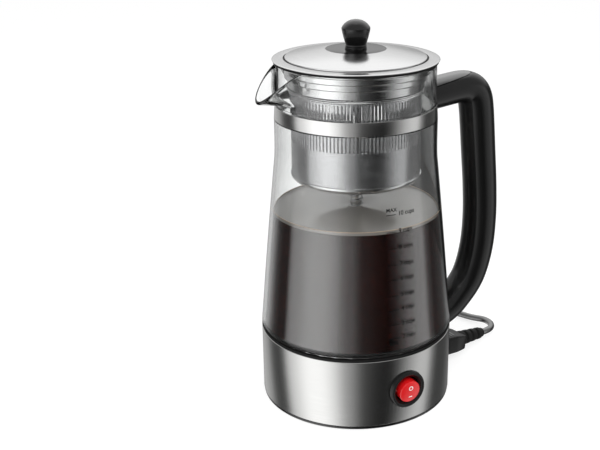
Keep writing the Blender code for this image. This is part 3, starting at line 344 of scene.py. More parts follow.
# Switch, connector and strain relief
switch_height = 0.0296
bezel_radius = 0.0147
bezel_front = 0.0776
bezel_back = 0.0710
bezel_chamfer = 0.0010
bezel_rim_width = 0.0022
bezel_dish_depth = 0.0022
switch_body_radius = 0.0120
switch_body_back = 0.0530
rocker_bore = 0.0103
rocker_bore_back = 0.0665
rocker_radius = 0.0088
rocker_front = 0.0803
rocker_back = 0.0705
rocker_crown = 0.0007
rocker_crown_shares = ((0.6, 0.35), (0.3, 0.08), (0.0, 0.0))
rocker_corner = 0.0006
mark_level_share = 0.20
mark_depth = 0.0002
mark_radius = 0.0018
mark_width = 0.0006
mark_ring_height = 0.00032
mark_edge = 0.00003
mark_bar_reach = 0.0015
mark_bar_height = 0.00036
mark_distance = 0.0036
rocker_tilt = math.radians(6)
pivot_depth = 0.0730
inlet_height = 0.0141
inlet_back = 0.0540
inlet_front = 0.0765
inlet_half_width = 0.0142
inlet_half_height = 0.0097
connector_half_width = 0.0112
connector_half_height = 0.0077
connector_nose = 0.0602
connector_shoulder = 0.0950
connector_end = 0.1030
connector_corner = 0.0022
connector_tail_share = 0.82
connector_tail_drop = 0.0010
connector_stations = (
    (connector_nose, 0.93, 0.0),
    (connector_nose + 0.0006, 0.985, 0.0),
    (connector_nose + 0.0016, 1.0, 0.0),
    (connector_shoulder - 0.0010, 1.0, 0.0),
    (connector_shoulder + 0.0008, 0.985, 0.1),
    (connector_end - 0.0010, 0.85, 0.9),
    (connector_end - 0.0003, connector_tail_share, 1.0),
    (connector_end, 0.76, 1.0),
)
grip_ribs = 5
rib_start = 0.0062
rib_pitch = 0.0026
rib_half_thickness = 0.0006
rib_half_width = 0.0078
rib_height = 0.0007
relief_dip = math.radians(6)
relief_yaw = math.radians(10)
relief_length = 0.0290
relief_root_radius = 0.0066
relief_tip_radius = 0.0048
relief_groove_depth = 0.0012
relief_ribs = 4
rib_shares = ((0.0, 0), (0.55, 0), (0.65, 1), (0.90, 1))

# Mains lead, coil, tie and plug
cord_diameter = 0.0056
cord_resolution = 8
lead_sink = 0.0010
cord_route = (
    (0.1364, 0.0059, 0.0095),
    (0.1434, 0.0084, 0.0089),
    (0.1492, 0.0130, 0.0082),
    (0.1532, 0.0193, 0.0074),
    (0.1549, 0.0265, 0.0065),
    (0.1544, 0.0331, 0.0057),
    (0.1509, 0.0450, 0.0038),
    (0.1462, 0.0596, 0.0030),
    (0.1400, 0.0736, 0.0030),
    (0.1328, 0.0868, 0.0030),
    (0.1248, 0.0997, 0.0030),
    (0.1158, 0.1120, 0.0034),
    (0.1058, 0.1242, 0.0040),
)
coil_centre = (0.0730, 0.1050)
coil_outer_radius = 0.0368
coil_pitch = 0.0064
coil_layer_turns = 2
coil_height = 0.0040
coil_layer_rise = 0.0061
coil_start_angle = math.radians(45)
coil_exit_angle = math.radians(14)
coil_tail = 0.0140
coil_points_per_turn = 72
tie_angle = math.radians(225)
tie_thickness = 0.0009
tie_corner = 0.0030
tie_inner_corner = 0.0024
tie_width = 0.0080
tie_clearance = 0.0006
plug_relief_length = 0.0210
plug_relief_root_radius = 0.0058
plug_relief_tip_radius = 0.0040
plug_length = 0.0300
plug_half_width = 0.0120
plug_half_height = 0.0101
plug_bevel = 0.0034
plug_bevel_steps = 6

# Textures
fine_grain_share = 0.6
broad_grain_size = 60
grain_bump = 0.12
brush_bump = 0.05
brush_depth = 0.00001


# Camera


def placed(name, data):
    """A new object in the scene with this data."""
    item = bpy.data.objects.new(name, data)
    bpy.context.scene.collection.objects.link(item)
    return item


def make_camera():
    data = bpy.data.cameras.new("photo_camera")
    data.sensor_width = sensor_width
    data.lens = lens_px * sensor_width / image_width
    data.shift_x = -(axis_px - image_width / 2) / image_width
    data.clip_start = near_clip
    camera = placed("photo_camera", data)
    camera.location = (
        -camera_distance * math.sin(camera_turn),
        -camera_distance * math.cos(camera_turn),
        camera_height,
    )
    camera.rotation_euler = (math.pi / 2 - camera_pitch, 0, -camera_turn)
    bpy.context.scene.camera = camera


make_camera()


# Node trees


class Nodes:
    """A short way to write a node tree."""

    def __init__(self, tree):
        self.tree = tree

    def feed(self, socket, value):
        """Links a socket into another, or sets it to a value."""
        if isinstance(value, bpy.types.NodeSocket):
            self.tree.links.new(value, socket)
        else:
            socket.default_value = value

    def add(self, kind, *values, **settings):
        """A node, with its first inputs in order and its other inputs and settings by name."""
        node = self.tree.nodes.new(kind)
        for name, value in settings.items():
            socket = name.replace("_", " ")
            if socket in node.inputs:
                self.feed(node.inputs[socket], value)
            else:
                setattr(node, name, value)
        for socket, value in zip(node.inputs, values):
            self.feed(socket, value)
        return node

    def math(self, operation, *values):
        return self.add("ShaderNodeMath", *values, operation=operation).outputs[0]

    def mixed(self, factor, first, second):
        return self.add("ShaderNodeMixShader", factor, first, second).outputs[0]

    def noise(self, place, scale, detail, roughness):
        node = self.add("ShaderNodeTexNoise", Scale=scale, Detail=detail, Roughness=roughness)
        self.feed(node.inputs["Vector"], place)
        return node.outputs["Fac"]

    def mapped(self, value, low, high, start=0.0, end=1.0, kind="LINEAR"):
        """A value between start and end, taken to low and high."""
        node = self.add(
            "ShaderNodeMapRange", interpolation_type=kind, Value=value,
            From_Min=start, From_Max=end, To_Min=low, To_Max=high,
        )
        return node.outputs["Result"]

    def bump(self, shader, height, strength, distance):
        node = self.add("ShaderNodeBump", Strength=strength, Distance=distance, Height=height)
        self.feed(shader.inputs["Normal"], node.outputs["Normal"])

    def ramp(self, factor, stops):
        """A colour ramp of (position, colour) stops."""
        node = self.add("ShaderNodeValToRGB", factor)
        for index, (position, colour) in enumerate(stops):
            if index < 2:
                stop = node.color_ramp.elements[index]
                stop.position = position
            else:
                stop = node.color_ramp.elements.new(position)
            stop.color = (*colour, 1.0)
        return node.outputs["Color"]


# Mesh helpers


def finished(mesh, finish):
    """Gives a mesh its one material, smooth where it is round."""
    mesh.materials.clear()
    mesh.materials.append(finish)
    mesh.shade_smooth()
    mesh.set_sharp_from_angle(angle=sharp_angle)
    return mesh


def shown(name, mesh, finish):
    return placed(name, finished(mesh, finish))


def open_mesh(name, form):
    mesh = bpy.data.meshes.new(name)
    form.to_mesh(mesh)
    form.free()
    return mesh


def closed_mesh(name, form):
    """Welds a closed form and turns its faces outwards."""
    bmesh.ops.remove_doubles(form, verts=form.verts, dist=weld_distance)
    bmesh.ops.recalc_face_normals(form, faces=form.faces)
    return open_mesh(name, form)


def polar(radius, angle, height):
    return Vector((radius * math.cos(angle), radius * math.sin(angle), height))


def softened(outline, radius, steps=3):
    """A closed outline whose corners are rounded, each by no more than its own sides allow."""
    points = [Vector(point) for point in outline]
    result = []
    for index, corner in enumerate(points):
        to_before = points[index - 1] - corner
        to_after = points[(index + 1) % len(points)] - corner
        on_axis = corner.x < weld_distance
        short = to_before.length < weld_distance or to_after.length < weld_distance
        if on_axis or short or to_before.angle(to_after) > straight_angle:
            result.append(corner)
            continue
        cut = min(radius, corner_share * to_before.length, corner_share * to_after.length)
        start = corner + to_before.normalized() * cut
        end = corner + to_after.normalized() * cut
        for step in range(steps + 1):
            share = step / steps
            result.append(start.lerp(corner, share).lerp(corner.lerp(end, share), share))
    return [(point.x, point.y) for point in result]


def turned(name, outline, finish, sides=fine_sides, radius=edge_radius, at=(0, 0, 0), turn=(0, 0, 0)):
    """Spins a closed outline of (radius, height) points round Z, with softened corners."""
    form = bmesh.new()
    verts = [form.verts.new((x, 0, z)) for x, z in softened(outline, radius)]
    edges = [
        form.edges.new(pair)
        for pair in zip(verts, verts[1:] + verts[:1])
        if pair[0].co.x > weld_distance or pair[1].co.x > weld_distance
    ]
    bmesh.ops.spin(form, geom=verts + edges, axis=(0, 0, 1), cent=(0, 0, 0), angle=full_turn, steps=sides)
    piece = shown(name, closed_mesh(name, form), finish)
    piece.location = at
    piece.rotation_euler = turn
    return piece


def ring_of(inner, outer, low, high):
    """The outline of a plain ring between two radii."""
    return [(inner, low), (outer, low), (outer, high), (inner, high)]


def block(name, low, high, finish, bevel=0.0, segments=3):
    """A box between two corners with rounded edges, kept in the frame's own coordinates."""
    form = bmesh.new()
    bmesh.ops.create_cube(form, size=1.0)
    bmesh.ops.scale(form, vec=Vector(high) - Vector(low), verts=form.verts)
    bmesh.ops.translate(form, vec=(Vector(low) + Vector(high)) / 2, verts=form.verts)
    if bevel > 0:
        bmesh.ops.bevel(
            form, geom=form.edges, offset=bevel, segments=segments, affect="EDGES", profile=0.5
        )
    return shown(name, closed_mesh(name, form), finish)


def swept(name, rings, finish, around=False):
    """Joins rings of points by one skin, closed by two end faces or, with around, in a loop."""
    form = bmesh.new()
    loops = [[form.verts.new(point) for point in ring] for ring in rings]
    nexts = loops[1:] + loops[:1] if around else loops[1:]
    for first, second in zip(loops, nexts):
        for index, start in enumerate(first):
            follow = (index + 1) % len(first)
            form.faces.new((start, first[follow], second[follow], second[index]))
    if not around:
        form.faces.new(loops[0])
        form.faces.new(loops[-1][::-1])
    return shown(name, closed_mesh(name, form), finish)


def rounded_section(half_width, half_height, corner, steps=5):
    """A rectangle's outline with round corners."""
    points = []
    for quarter in range(4):
        across = (half_width - corner) * (1 if quarter in (0, 3) else -1)
        up = (half_height - corner) * (1 if quarter in (0, 1) else -1)
        for step in range(steps + 1):
            angle = full_turn / 4 * (quarter + step / steps)
            points.append((across + corner * math.cos(angle), up + corner * math.sin(angle)))
    return points


def carved(piece, *cutters, within=None):
    """Keeps only what of a piece lies within another, if one is given, and cuts the rest out."""
    steps = [("DIFFERENCE", cutter) for cutter in cutters]
    if within is not None:
        steps.insert(0, ("INTERSECT", within))
    for operation, tool in steps:
        step = piece.modifiers.new(tool.name, "BOOLEAN")
        step.operation = operation
        step.solver = "EXACT"
        step.object = tool
    bpy.context.view_layer.update()
    graph = bpy.context.evaluated_depsgraph_get()
    mesh = bpy.data.meshes.new_from_object(piece.evaluated_get(graph))
    piece.modifiers.clear()
    finish = piece.data.materials[0]
    piece.data = mesh
    finished(mesh, finish)
    for _, tool in steps:
        bpy.data.objects.remove(tool, do_unlink=True)


def smooth_through(points, steps):
    """A smooth curve through the given points, with some steps from each to the next."""
    knots = [Vector(point) for point in points]
    padded = [2 * knots[0] - knots[1], *knots, 2 * knots[-1] - knots[-2]]
    dense = []
    for before, start, end, after in zip(padded, padded[1:], padded[2:], padded[3:]):
        for index in range(steps):
            t = index / steps
            pull = 2 * before - 5 * start + 4 * end - after
            twist = 3 * start - before - 3 * end + after
            dense.append((2 * start + (end - before) * t + pull * t * t + twist * t ** 3) / 2)
    dense.append(knots[-1])
    return dense


def tube(name, points, radius, finish, resolution):
    """A round tube along points, as a curve with filled caps."""
    curve = bpy.data.curves.new(name, "CURVE")
    curve.dimensions = "3D"
    curve.bevel_depth = radius
    curve.bevel_resolution = resolution
    curve.use_fill_caps = True
    spline = curve.splines.new("POLY")
    spline.points.add(len(points) - 1)
    for target, point in zip(spline.points, points):
        target.co = (*point, 1.0)
    curve.materials.append(finish)
    return placed(name, curve)


def dressed(piece, body, slot, *nodes):
    """Puts a piece on its body, in place of its solids; the slot is not used."""
    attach(piece, body)
    if nodes:
        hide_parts(*nodes)


# Materials


def principled(name, colour, roughness, metallic=0.0, **uniform):
    """A material whose uniform numbers sit on the shader's own sockets."""
    made = bpy.data.materials.new(name)
    made.use_nodes = True
    nodes = Nodes(made.node_tree)
    shader = made.node_tree.nodes["Principled BSDF"]
    numbers = {"Base_Color": (*colour, 1.0), "Roughness": roughness, "Metallic": metallic, **uniform}
    for key, value in numbers.items():
        nodes.feed(shader.inputs[key.replace("_", " ")], value)
    return made, nodes, shader


def own_place(nodes):
    """The piece's own coordinates."""
    return nodes.add("ShaderNodeTexCoord").outputs["Object"]


def textured(nodes, shader, height, colours, roughnesses, strength, distance):
    """Drives colour, roughness and bump by one grey texture."""
    nodes.feed(shader.inputs["Base Color"], nodes.ramp(height, colours))
    nodes.feed(shader.inputs["Roughness"], nodes.mapped(height, *roughnesses))
    nodes.bump(shader, height, strength, distance)


def tints(colour, darker, lighter, start):
    """A darker and a lighter stop of one colour, as far from the two ends of a ramp."""
    dark = tuple(value * darker for value in colour)
    light = tuple(min(value * lighter, 1.0) for value in colour)
    return (start, dark), (1 - start, light)


def brushed(name, colour, low, high, along_scale, across_scale, anisotropy, spun=False, **uniform):
    """Brushed or spun metal: fine lines round the axis, or rings about it."""
    made, nodes, shader = principled(name, colour, low, 1.0, Anisotropic=anisotropy, **uniform)
    x, y, across = nodes.add("ShaderNodeSeparateXYZ", own_place(nodes)).outputs
    if spun:
        squares = [nodes.math("MULTIPLY", value, value) for value in (x, y)]
        across = nodes.math("SQRT", nodes.math("ADD", *squares))
    lines = nodes.add(
        "ShaderNodeCombineXYZ", nodes.math("MULTIPLY", nodes.math("ARCTAN2", y, x), along_scale),
        nodes.math("MULTIPLY", across, across_scale),
    )
    grain = nodes.noise(lines.outputs[0], 1.0, 3.0, 0.6)
    stops = tints(colour, 0.95, 1.05, 0.3)
    textured(nodes, shader, grain, stops, (low, high), brush_bump, brush_depth)
    return made


def moulded(name, colour, low, high, grain_scale=2500.0, depth=0.00002, **uniform):
    """Moulded plastic or rubber with a fine even grain."""
    made, nodes, shader = principled(name, colour, low, 0.0, **uniform)
    place = own_place(nodes)
    fine = nodes.math("MULTIPLY", nodes.noise(place, grain_scale, 2.0, 0.5), fine_grain_share)
    broad = nodes.noise(place, grain_scale / broad_grain_size, 2.0, 0.5)
    broad = nodes.math("MULTIPLY", broad, 1 - fine_grain_share)
    height = nodes.math("ADD", fine, broad)
    stops = tints(colour, 0.85, 1.2, 0.35)
    textured(nodes, shader, height, stops, (low, high), grain_bump, depth)
    return made


def glass_material():
    made, nodes, shader = principled(
        "clear_glass", (0.985, 0.993, 0.990), 0.0, 0.0, Transmission_Weight=1.0, IOR=1.50
    )
    nodes.bump(shader, nodes.noise(own_place(nodes), 14.0, 1.0, 0.4), 0.05, 0.0004)
    return made


def coffee_material(name, deep, lit, roughness):
    made, nodes, shader = principled(name, deep, roughness, 0.0, IOR=2.0)
    cloud = nodes.noise(own_place(nodes), 16.0, 2.0, 0.5)
    nodes.feed(shader.inputs["Base Color"], nodes.ramp(cloud, ((0.3, deep), (0.7, lit))))
    return made


steel_brushed = brushed("brushed_steel", (0.62, 0.62, 0.61), 0.15, 0.23, 3.0, 4200.0, 0.55)
steel_polished = brushed("polished_steel", (0.72,) * 3, 0.07, 0.13, 2.0, 2600.0, 0.2)
steel_lid = brushed("spun_steel", (0.78,) * 3, 0.16, 0.24, 1.5, 3000.0, 0.35, True)
# Painted shade: the lid's spun steel made near black for the centre disc and the knob's washer, standing
# in for the shade and dark reflection round the knob.
steel_painted_shade = brushed("spun_steel_painted_shade", (0.08,) * 3, 0.10, 0.18, 1.5, 3000.0, 0.3, True)
steel_band = brushed("band_steel", (0.70, 0.70, 0.69), 0.14, 0.22, 5.0, 3800.0, 0.3)
steel_satin = brushed("satin_steel", (0.62,) * 3, 0.20, 0.30, 3.0, 2600.0, 0.2)
steel_sheet = brushed(
    "perforated_steel", (0.66, 0.66, 0.67), 0.16, 0.24, 3.0, 2600.0, 0.0, Alpha=basket_see_through
)
black_satin = moulded(
    "satin_black_plastic", (0.005,) * 3, 0.20, 0.27,
    Specular_IOR_Level=0.35, Coat_Weight=0.7, Coat_Roughness=0.13,
)
black_grip = moulded(
    "grip_black_plastic", (0.005,) * 3, 0.20, 0.27,
    Specular_IOR_Level=0.30, Coat_Weight=0.4, Coat_Roughness=0.13,
)
black_shiny = moulded(
    "shiny_black_plastic", (0.006,) * 3, 0.16, 0.22,
    Specular_IOR_Level=0.50, Coat_Weight=1.0, Coat_Roughness=0.12, Coat_IOR=2.1,
)
black_gloss = moulded("black_plastic", (0.008,) * 3, 0.16, 0.26, Specular_IOR_Level=0.30)
black_soft = moulded("black_rubber", (0.008,) * 3, 0.42, 0.60, Specular_IOR_Level=0.20)
cord_black = moulded(
    "cord_sheath", (0.009,) * 3, 0.14, 0.22,
    Specular_IOR_Level=1.0, Coat_Weight=1.0, Coat_Roughness=0.10, Coat_IOR=2.0,
)
red_lens = moulded(
    "red_plastic", (0.68, 0.008, 0.010), 0.14, 0.22, 1800.0, 0.00001,
    Coat_Weight=0.5, Coat_Roughness=0.08,
)
white_print = moulded("white_print", (0.85, 0.85, 0.83), 0.40, 0.50)
black_print = moulded("scale_print", (0.004,) * 3, 0.55, 0.70, Specular_IOR_Level=0.05)
aluminium = brushed("cast_aluminium", (0.60, 0.60, 0.58), 0.38, 0.52, 60.0, 900.0, 0.0)
brass_metal = brushed("brass", (0.68, 0.47, 0.20), 0.22, 0.34, 60.0, 1500.0, 0.0)
ceramic = moulded("white_ceramic", (0.80, 0.79, 0.74), 0.30, 0.45)
insulation = moulded("red_insulation", (0.42, 0.02, 0.015), 0.35, 0.48)
glass = glass_material()
coffee_side = coffee_material("coffee", (0.0135, 0.0022, 0.0014), (0.0170, 0.0030, 0.0020), 0.01)
# Painted light on the coffee: a pale ring at its edge is a painted highlight, and its top layer is pale
# beige as a painted sheen of reflected light.
painted_meniscus_highlight = moulded("painted_meniscus_highlight", (0.48, 0.37, 0.27), 0.15, 0.25)
coffee_sheen_painted = coffee_material("coffee_surface_painted_sheen", (0.27, 0.252, 0.230), (0.29, 0.270, 0.245), 0.13)


# Base shell, cover and seals


def make_base():
    lip = base_radius - shell_lip_width
    inside = base_radius - shell_wall
    outline = [
        (inside, shell_bottom), (base_radius, shell_bottom), (base_radius, shell_top),
        (lip, shell_top), (lip, shell_top - shell_wall), (inside, shell_top - shell_wall),
    ]
    shell = turned("steel_shell", outline, steel_brushed, radius=broad_edge)
    bore = ring_of(0, bezel_radius + fit_gap, 0, base_radius - bezel_back + bezel_front)
    start = (0, -bezel_back + cut_overrun, switch_height)
    hole = turned("cut_switch_hole", bore, steel_brushed, small_sides, 0, start, facing_front)
    half_width = inlet_half_width + fit_gap
    low = (bezel_back, -half_width, inlet_height - inlet_half_height - fit_gap)
    high = (inlet_front + cut_overrun, half_width, inlet_height + inlet_half_height + fit_gap)
    carved(shell, hole, block("cut_inlet_window", low, high, steel_brushed))
    dressed(shell, "kettle", "brushed_steel", "base_shell")

    ring = base_radius - foot_ring_inset
    ring_in = ring - foot_ring_width
    ring_bottom = shell_bottom - foot_ring_drop
    ring_top = shell_bottom - fit_gap
    spigot = inside - fit_gap
    spigot_in = spigot - cover_spigot_wall
    spigot_top = shell_bottom + cover_spigot_height
    plate_top = cover_plate_bottom + cover_plate_thickness
    well = bolt_well_radius + cover_plate_thickness
    outline = [
        (bolt_hole_radius, cover_plate_bottom + bolt_well_depth),
        (bolt_well_radius, cover_plate_bottom + bolt_well_depth),
        (bolt_well_radius, cover_plate_bottom), (ring_in, cover_plate_bottom),
        (ring_in, ring_bottom), (ring, ring_bottom), (ring, ring_top), (spigot, ring_top),
        (spigot, spigot_top), (spigot_in, spigot_top), (spigot_in, plate_top), (well, plate_top),
        (well, plate_top + bolt_well_depth), (bolt_hole_radius, plate_top + bolt_well_depth),
    ]
    cover = turned("foot_ring", outline, black_satin, radius=medium_edge)
    low = (inlet_back - fit_gap, -half_width, plate_top + fit_gap)
    high = (base_radius, half_width, inlet_height)
    carved(cover, block("cut_spigot_notch", low, high, black_satin))
    dressed(cover, "kettle", "black_plastic", "base_cover")


def make_seal(name, node, inner, low, high, lip):
    """A ring with a bead round its outside, which ends in the points of its lip."""
    edge = base_radius - seal_bead
    outline = [(inner, low), (edge, low), (base_radius, (low + high) / 2), (edge, high), *lip]
    dressed(turned(name, outline, black_soft, radius=soft_edge), "kettle", "black_rubber", node)


def make_seals():
    inner = base_radius - seal_width
    low, high = seal_lower_bottom, seal_lower_top
    make_seal("lower_seal_ring", "lower_seal", inner, low, high, [(inner, high)])
    low, high = seal_upper_bottom, seal_upper_top
    lip_top = high + seal_lip_rise
    lip = [(seal_lip_radius, high), (seal_lip_radius, lip_top), (seal_inner_radius, lip_top)]
    make_seal("upper_seal_ring", "upper_seal", seal_inner_radius, low, high, lip)


# Glass carafe, coffee, collar and cup scale


def glass_rim(angle):
    """Radius and height of the rim: a rounded beak that dips to the spout's tip."""
    if angle >= spout_half_angle:
        return glass_rim_radius, glass_rim_height
    share = (1 + math.cos(math.pi * angle / spout_half_angle)) / 2
    reach = glass_rim_radius + (spout_tip_reach - glass_rim_radius) * share
    return reach, glass_rim_height - (glass_rim_height - spout_tip_height) * share ** spout_dip_share


def belly_line():
    """The belly's outer line below the collar, smoothed."""
    height = band_bottom - glass_bottom
    belly = glass_foot_radius - neck_radius
    knots = [
        (neck_radius + belly * share, 0, glass_bottom + height * up) for share, up in belly_shares
    ]
    knots.append((band_lower_radius, 0, band_bottom - 2 * fit_gap))
    return [(point.x, point.z) for point in smooth_through(knots, belly_steps)]


def glass_column(angle, belly):
    """Outer (radius, height) points of the carafe at an angle away from the spout."""
    column = [
        *belly,
        (band_lower_radius - groove_depth, band_bottom - fit_gap),
        (band_upper_radius - groove_depth, band_top + fit_gap),
        (band_upper_radius, band_top + 2 * fit_gap),
    ]
    reach, rim_height = glass_rim(angle)
    for index in range(neck_rows + 1):
        share = index / neck_rows
        radius = neck_radius + (reach - neck_radius) * share ** spout_fullness_share
        column.append((radius, spout_start_height + (rim_height - spout_start_height) * share))
    return column


def inset_line(column, depth):
    """The same line moved inwards, square to itself."""
    moved = []
    for index, (radius, height) in enumerate(column):
        before = Vector(column[max(index - 1, 0)])
        after = Vector(column[min(index + 1, len(column) - 1)])
        along = (after - before).normalized()
        moved.append((radius - along.y * depth, height + along.x * depth))
    return moved


def radius_at(height, line):
    """The radius at a height of a rising line of (radius, height) points."""
    for (near, low), (far, high) in zip(line, line[1:]):
        if low <= height <= high:
            return near + (far - near) * (height - low) / (high - low)
    return line[0][0]


def bead(line, onto, steps=6):
    """Points of a flat half circle from the end of one line to the start of another."""
    first, last = Vector(line[-1]), Vector(onto[0])
    outward = (first - Vector(line[-2])).normalized()
    middle = (first + last) / 2
    arm = first - middle
    reach = outward * arm.length * bead_share
    angles = [math.pi * step / steps for step in range(1, steps)]
    return [tuple(middle + arm * math.cos(angle) + reach * math.sin(angle)) for angle in angles]


def make_carafe():
    belly = belly_line()
    angles = [
        spout_half_angle * (2 * index / spout_columns - 1) for index in range(spout_columns)
    ]
    rest = full_turn - 2 * spout_half_angle
    angles += [spout_half_angle + rest * index / body_columns for index in range(body_columns)]
    rings = []
    for angle in angles:
        outer = glass_column(min(abs(angle), full_turn - angle), belly)
        inner = inset_line(outer, glass_wall)[::-1]
        loop = outer + bead(outer, inner) + inner + bead(inner, outer)
        rings.append([polar(-radius, angle, height) for radius, height in loop])
    carafe = swept("carafe_glass", rings, glass, True)
    dressed(carafe, "kettle", "clear_glass", "glass_carafe")


def bell_point(shares):
    return foot_radius * shares[0], pump_bottom + foot_height * shares[1]


def make_coffee():
    """Coffee up to its level, clear of the pump, with its surface as a thin layer of its own, pale as
    painted sheen, and a pale ring at the glass as a painted highlight.
    """
    wall = inset_line(belly_line(), glass_wall + skin_gap)
    side = [point for point in wall if glass_bottom + coffee_wall_rise < point[1] < coffee_level]
    rim = radius_at(coffee_level, inset_line(belly_line(), glass_wall)) - skin_gap
    bore = tube_radius + fit_gap
    top = pump_bottom + foot_height
    under = coffee_level - coffee_top_depth
    outline = [
        (bore, top + fit_gap),
        (foot_waist_radius + fit_gap, top - foot_height * coffee_waist_share),
        bell_point(coffee_bell_shares),
        (foot_radius + fit_gap, pump_bottom + foot_lip + fit_gap),
        (foot_radius + fit_gap, coffee_bottom),
        (coffee_pan_radius - coffee_corner_width, coffee_bottom),
        (coffee_pan_radius, coffee_bottom + coffee_corner_height),
        (coffee_pan_radius, glass_bottom + coffee_step_rise),
        (side[0][0], glass_bottom + coffee_wall_rise), *side, (rim, under), (bore, under),
    ]
    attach(turned("coffee", outline, coffee_side, radius=0), "kettle")

    # The surface layer takes the pale painted sheen.
    low = coffee_level - surface_depth
    edge = rim - surface_gap
    outline = [(bore, low), (edge, low)]
    outline += [
        (edge - meniscus_width * out, coffee_level + meniscus_rise * up)
        for out, up in glass_meniscus_shares
    ]
    outline += [
        (bore + meniscus_width * out, coffee_level + meniscus_rise * up)
        for out, up in tube_meniscus_shares
    ]
    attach(turned("coffee_surface_painted_sheen", outline, coffee_sheen_painted, radius=0), "kettle")

    # A pale ring at the glass just above the meniscus: a painted highlight.
    outer = edge - skin_gap / 4
    line_low = coffee_level + meniscus_rise
    line_top = line_low + coffee_line_width
    outline = [
        (outer - coffee_line_width, line_low), (outer, line_low),
        (outer, line_top), (outer - coffee_line_width / 2, line_top),
    ]
    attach(turned("coffee_edge_painted_highlight", outline, painted_meniscus_highlight, radius=0), "kettle")


def make_collar():
    outline = [
        (band_lower_radius - band_thickness, band_bottom), (band_lower_radius, band_bottom),
        (band_upper_radius, band_top), (band_upper_radius - band_thickness, band_top),
    ]
    dressed(turned("collar_ring", outline, steel_band), "kettle", "brushed_steel", "collar_band")
    low = (band_upper_radius - band_thickness / 2, -tab_half_width, tab_bottom)
    tab = block("collar_tab", low, (tab_reach, tab_half_width, tab_top), steel_band, medium_edge)
    dressed(tab, "kettle", "brushed_steel")


def print_word(words, size, at):
    """Letters as a thin flat mesh, with their left end at zero and their middle at a height."""
    curve = bpy.data.curves.new("word", "FONT")
    curve.body = words
    curve.size = size
    curve.extrude = letter_depth
    curve.offset = letter_weight
    curve.align_x = "LEFT"
    curve.align_y = "CENTER"
    holder = placed("word", curve)
    bpy.context.view_layer.update()
    graph = bpy.context.evaluated_depsgraph_get()
    form = bmesh.new()
    form.from_mesh(bpy.data.meshes.new_from_object(holder.evaluated_get(graph)))
    bpy.data.objects.remove(holder, do_unlink=True)
    bmesh.ops.translate(form, vec=(0, at, 0), verts=form.verts)
    return form


def make_scale():
    belly = belly_line()
    everything = bmesh.new()

    def keep(form, start):
        """Wraps flat print round the glass, x along the arc and y its height, and adds it."""
        for vert in form.verts:
            radius = radius_at(vert.co.y, belly)
            angle = start + vert.co.x / radius
            vert.co = polar(radius + (print_lift + vert.co.z), angle, vert.co.y)
        everything.from_mesh(open_mesh("part", form))

    for index, height in enumerate(scale_heights):
        tick = bmesh.new()
        bmesh.ops.create_grid(tick, x_segments=tick_segments, y_segments=1, size=0.5)
        width = (tick_end - tick_start) * radius_at(height, belly)
        for vert in tick.verts:
            vert.co = Vector(((vert.co.x + 0.5) * width, height + vert.co.y * tick_thickness, 0))
        keep(tick, tick_start)
        words = f"{most_cups - index} cups"
        keep(print_word(words, word_size, height + word_size * cups_rise_share), text_start)
    for words, height in (
        ("MAX", scale_heights[0] + word_size * max_rise_share),
        ("MIN", scale_heights[-1] - word_size * min_drop_share),
    ):
        keep(print_word(words, word_size * limit_size_share, height), tick_start)
    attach(shown("cup_scale", open_mesh("cup_scale", everything), black_print), "kettle")


# Handle


def handle_sweep(name, finish):
    """The whole grip as one smooth tube with a rounded section."""
    span = handle_reach - handle_start
    route = [
        (handle_start + span * out, deep, handle_end_height + handle_rise * up)
        for out, up, deep in handle_route_shares
    ]
    line = smooth_through(route, route_steps)
    section = rounded_section(handle_half_width, handle_half_depth, handle_corner, handle_corner_steps)
    rings = []
    for index, point in enumerate(line):
        before = line[max(index - 1, 0)]
        after = line[min(index + 1, len(line) - 1)]
        forward = Vector((after.x - before.x, 0, after.z - before.z)).normalized()
        outward = Vector((-forward.z, 0, forward.x))
        centre = Vector((point.x, 0, point.z))
        rings.append(
            [centre + Vector((0, across, 0)) + outward * deep * point.y for across, deep in section]
        )
    return swept(name, rings, finish)


def seam_space(name, lift, end):
    """The space above the cap's seam, as a prism across the handle."""
    start = handle_start - cut_overrun
    top = handle_end_height + handle_rise + 2 * handle_half_depth
    slope = cap_seam_rise / (cap_end - handle_start)
    low = cap_seam_height + slope * (start - handle_start) + lift
    high = cap_seam_height + slope * (end - handle_start) + lift
    half = handle_half_width + cut_overrun
    corners = ((start, low), (end, high), (end, top), (start, top))
    return swept(name, [[(x, side, z) for x, z in corners] for side in (-half, half)], black_satin)


def handle_cutters(label):
    """The carafe's and the base's outer spaces, which the handle's two ends follow."""
    top = handle_end_height + handle_rise + 2 * handle_half_depth
    neck = ring_of(0, band_lower_radius + fit_gap, band_bottom - 3 * handle_half_depth, top)
    foot = ring_of(0, base_radius + fit_gap, 0, seal_upper_top + handle_half_depth)
    return [
        turned(f"cut_neck_{label}", neck, black_satin),
        turned(f"cut_foot_{label}", foot, black_satin),
    ]


def make_handle():
    grip = handle_sweep("grip", black_grip)
    low = (handle_start, -tab_half_width - fit_gap, tab_bottom - fit_gap)
    high = (tab_reach + fit_gap, tab_half_width + fit_gap, tab_top + fit_gap)
    slot = block("cut_tab_slot", low, high, black_satin)
    above = seam_space("cut_cap_space", 0, cap_end + fit_gap)
    carved(grip, *handle_cutters("grip"), above, slot)
    dressed(grip, "kettle", "black_plastic", "handle_shell")
    cap = handle_sweep("grip_cap", black_shiny)
    above = seam_space("keep_cap_space", seam_width, cap_end)
    carved(cap, *handle_cutters("cap"), within=above)
    dressed(cap, "kettle", "black_plastic", "handle_cap")


# Pump, basket and basket cover


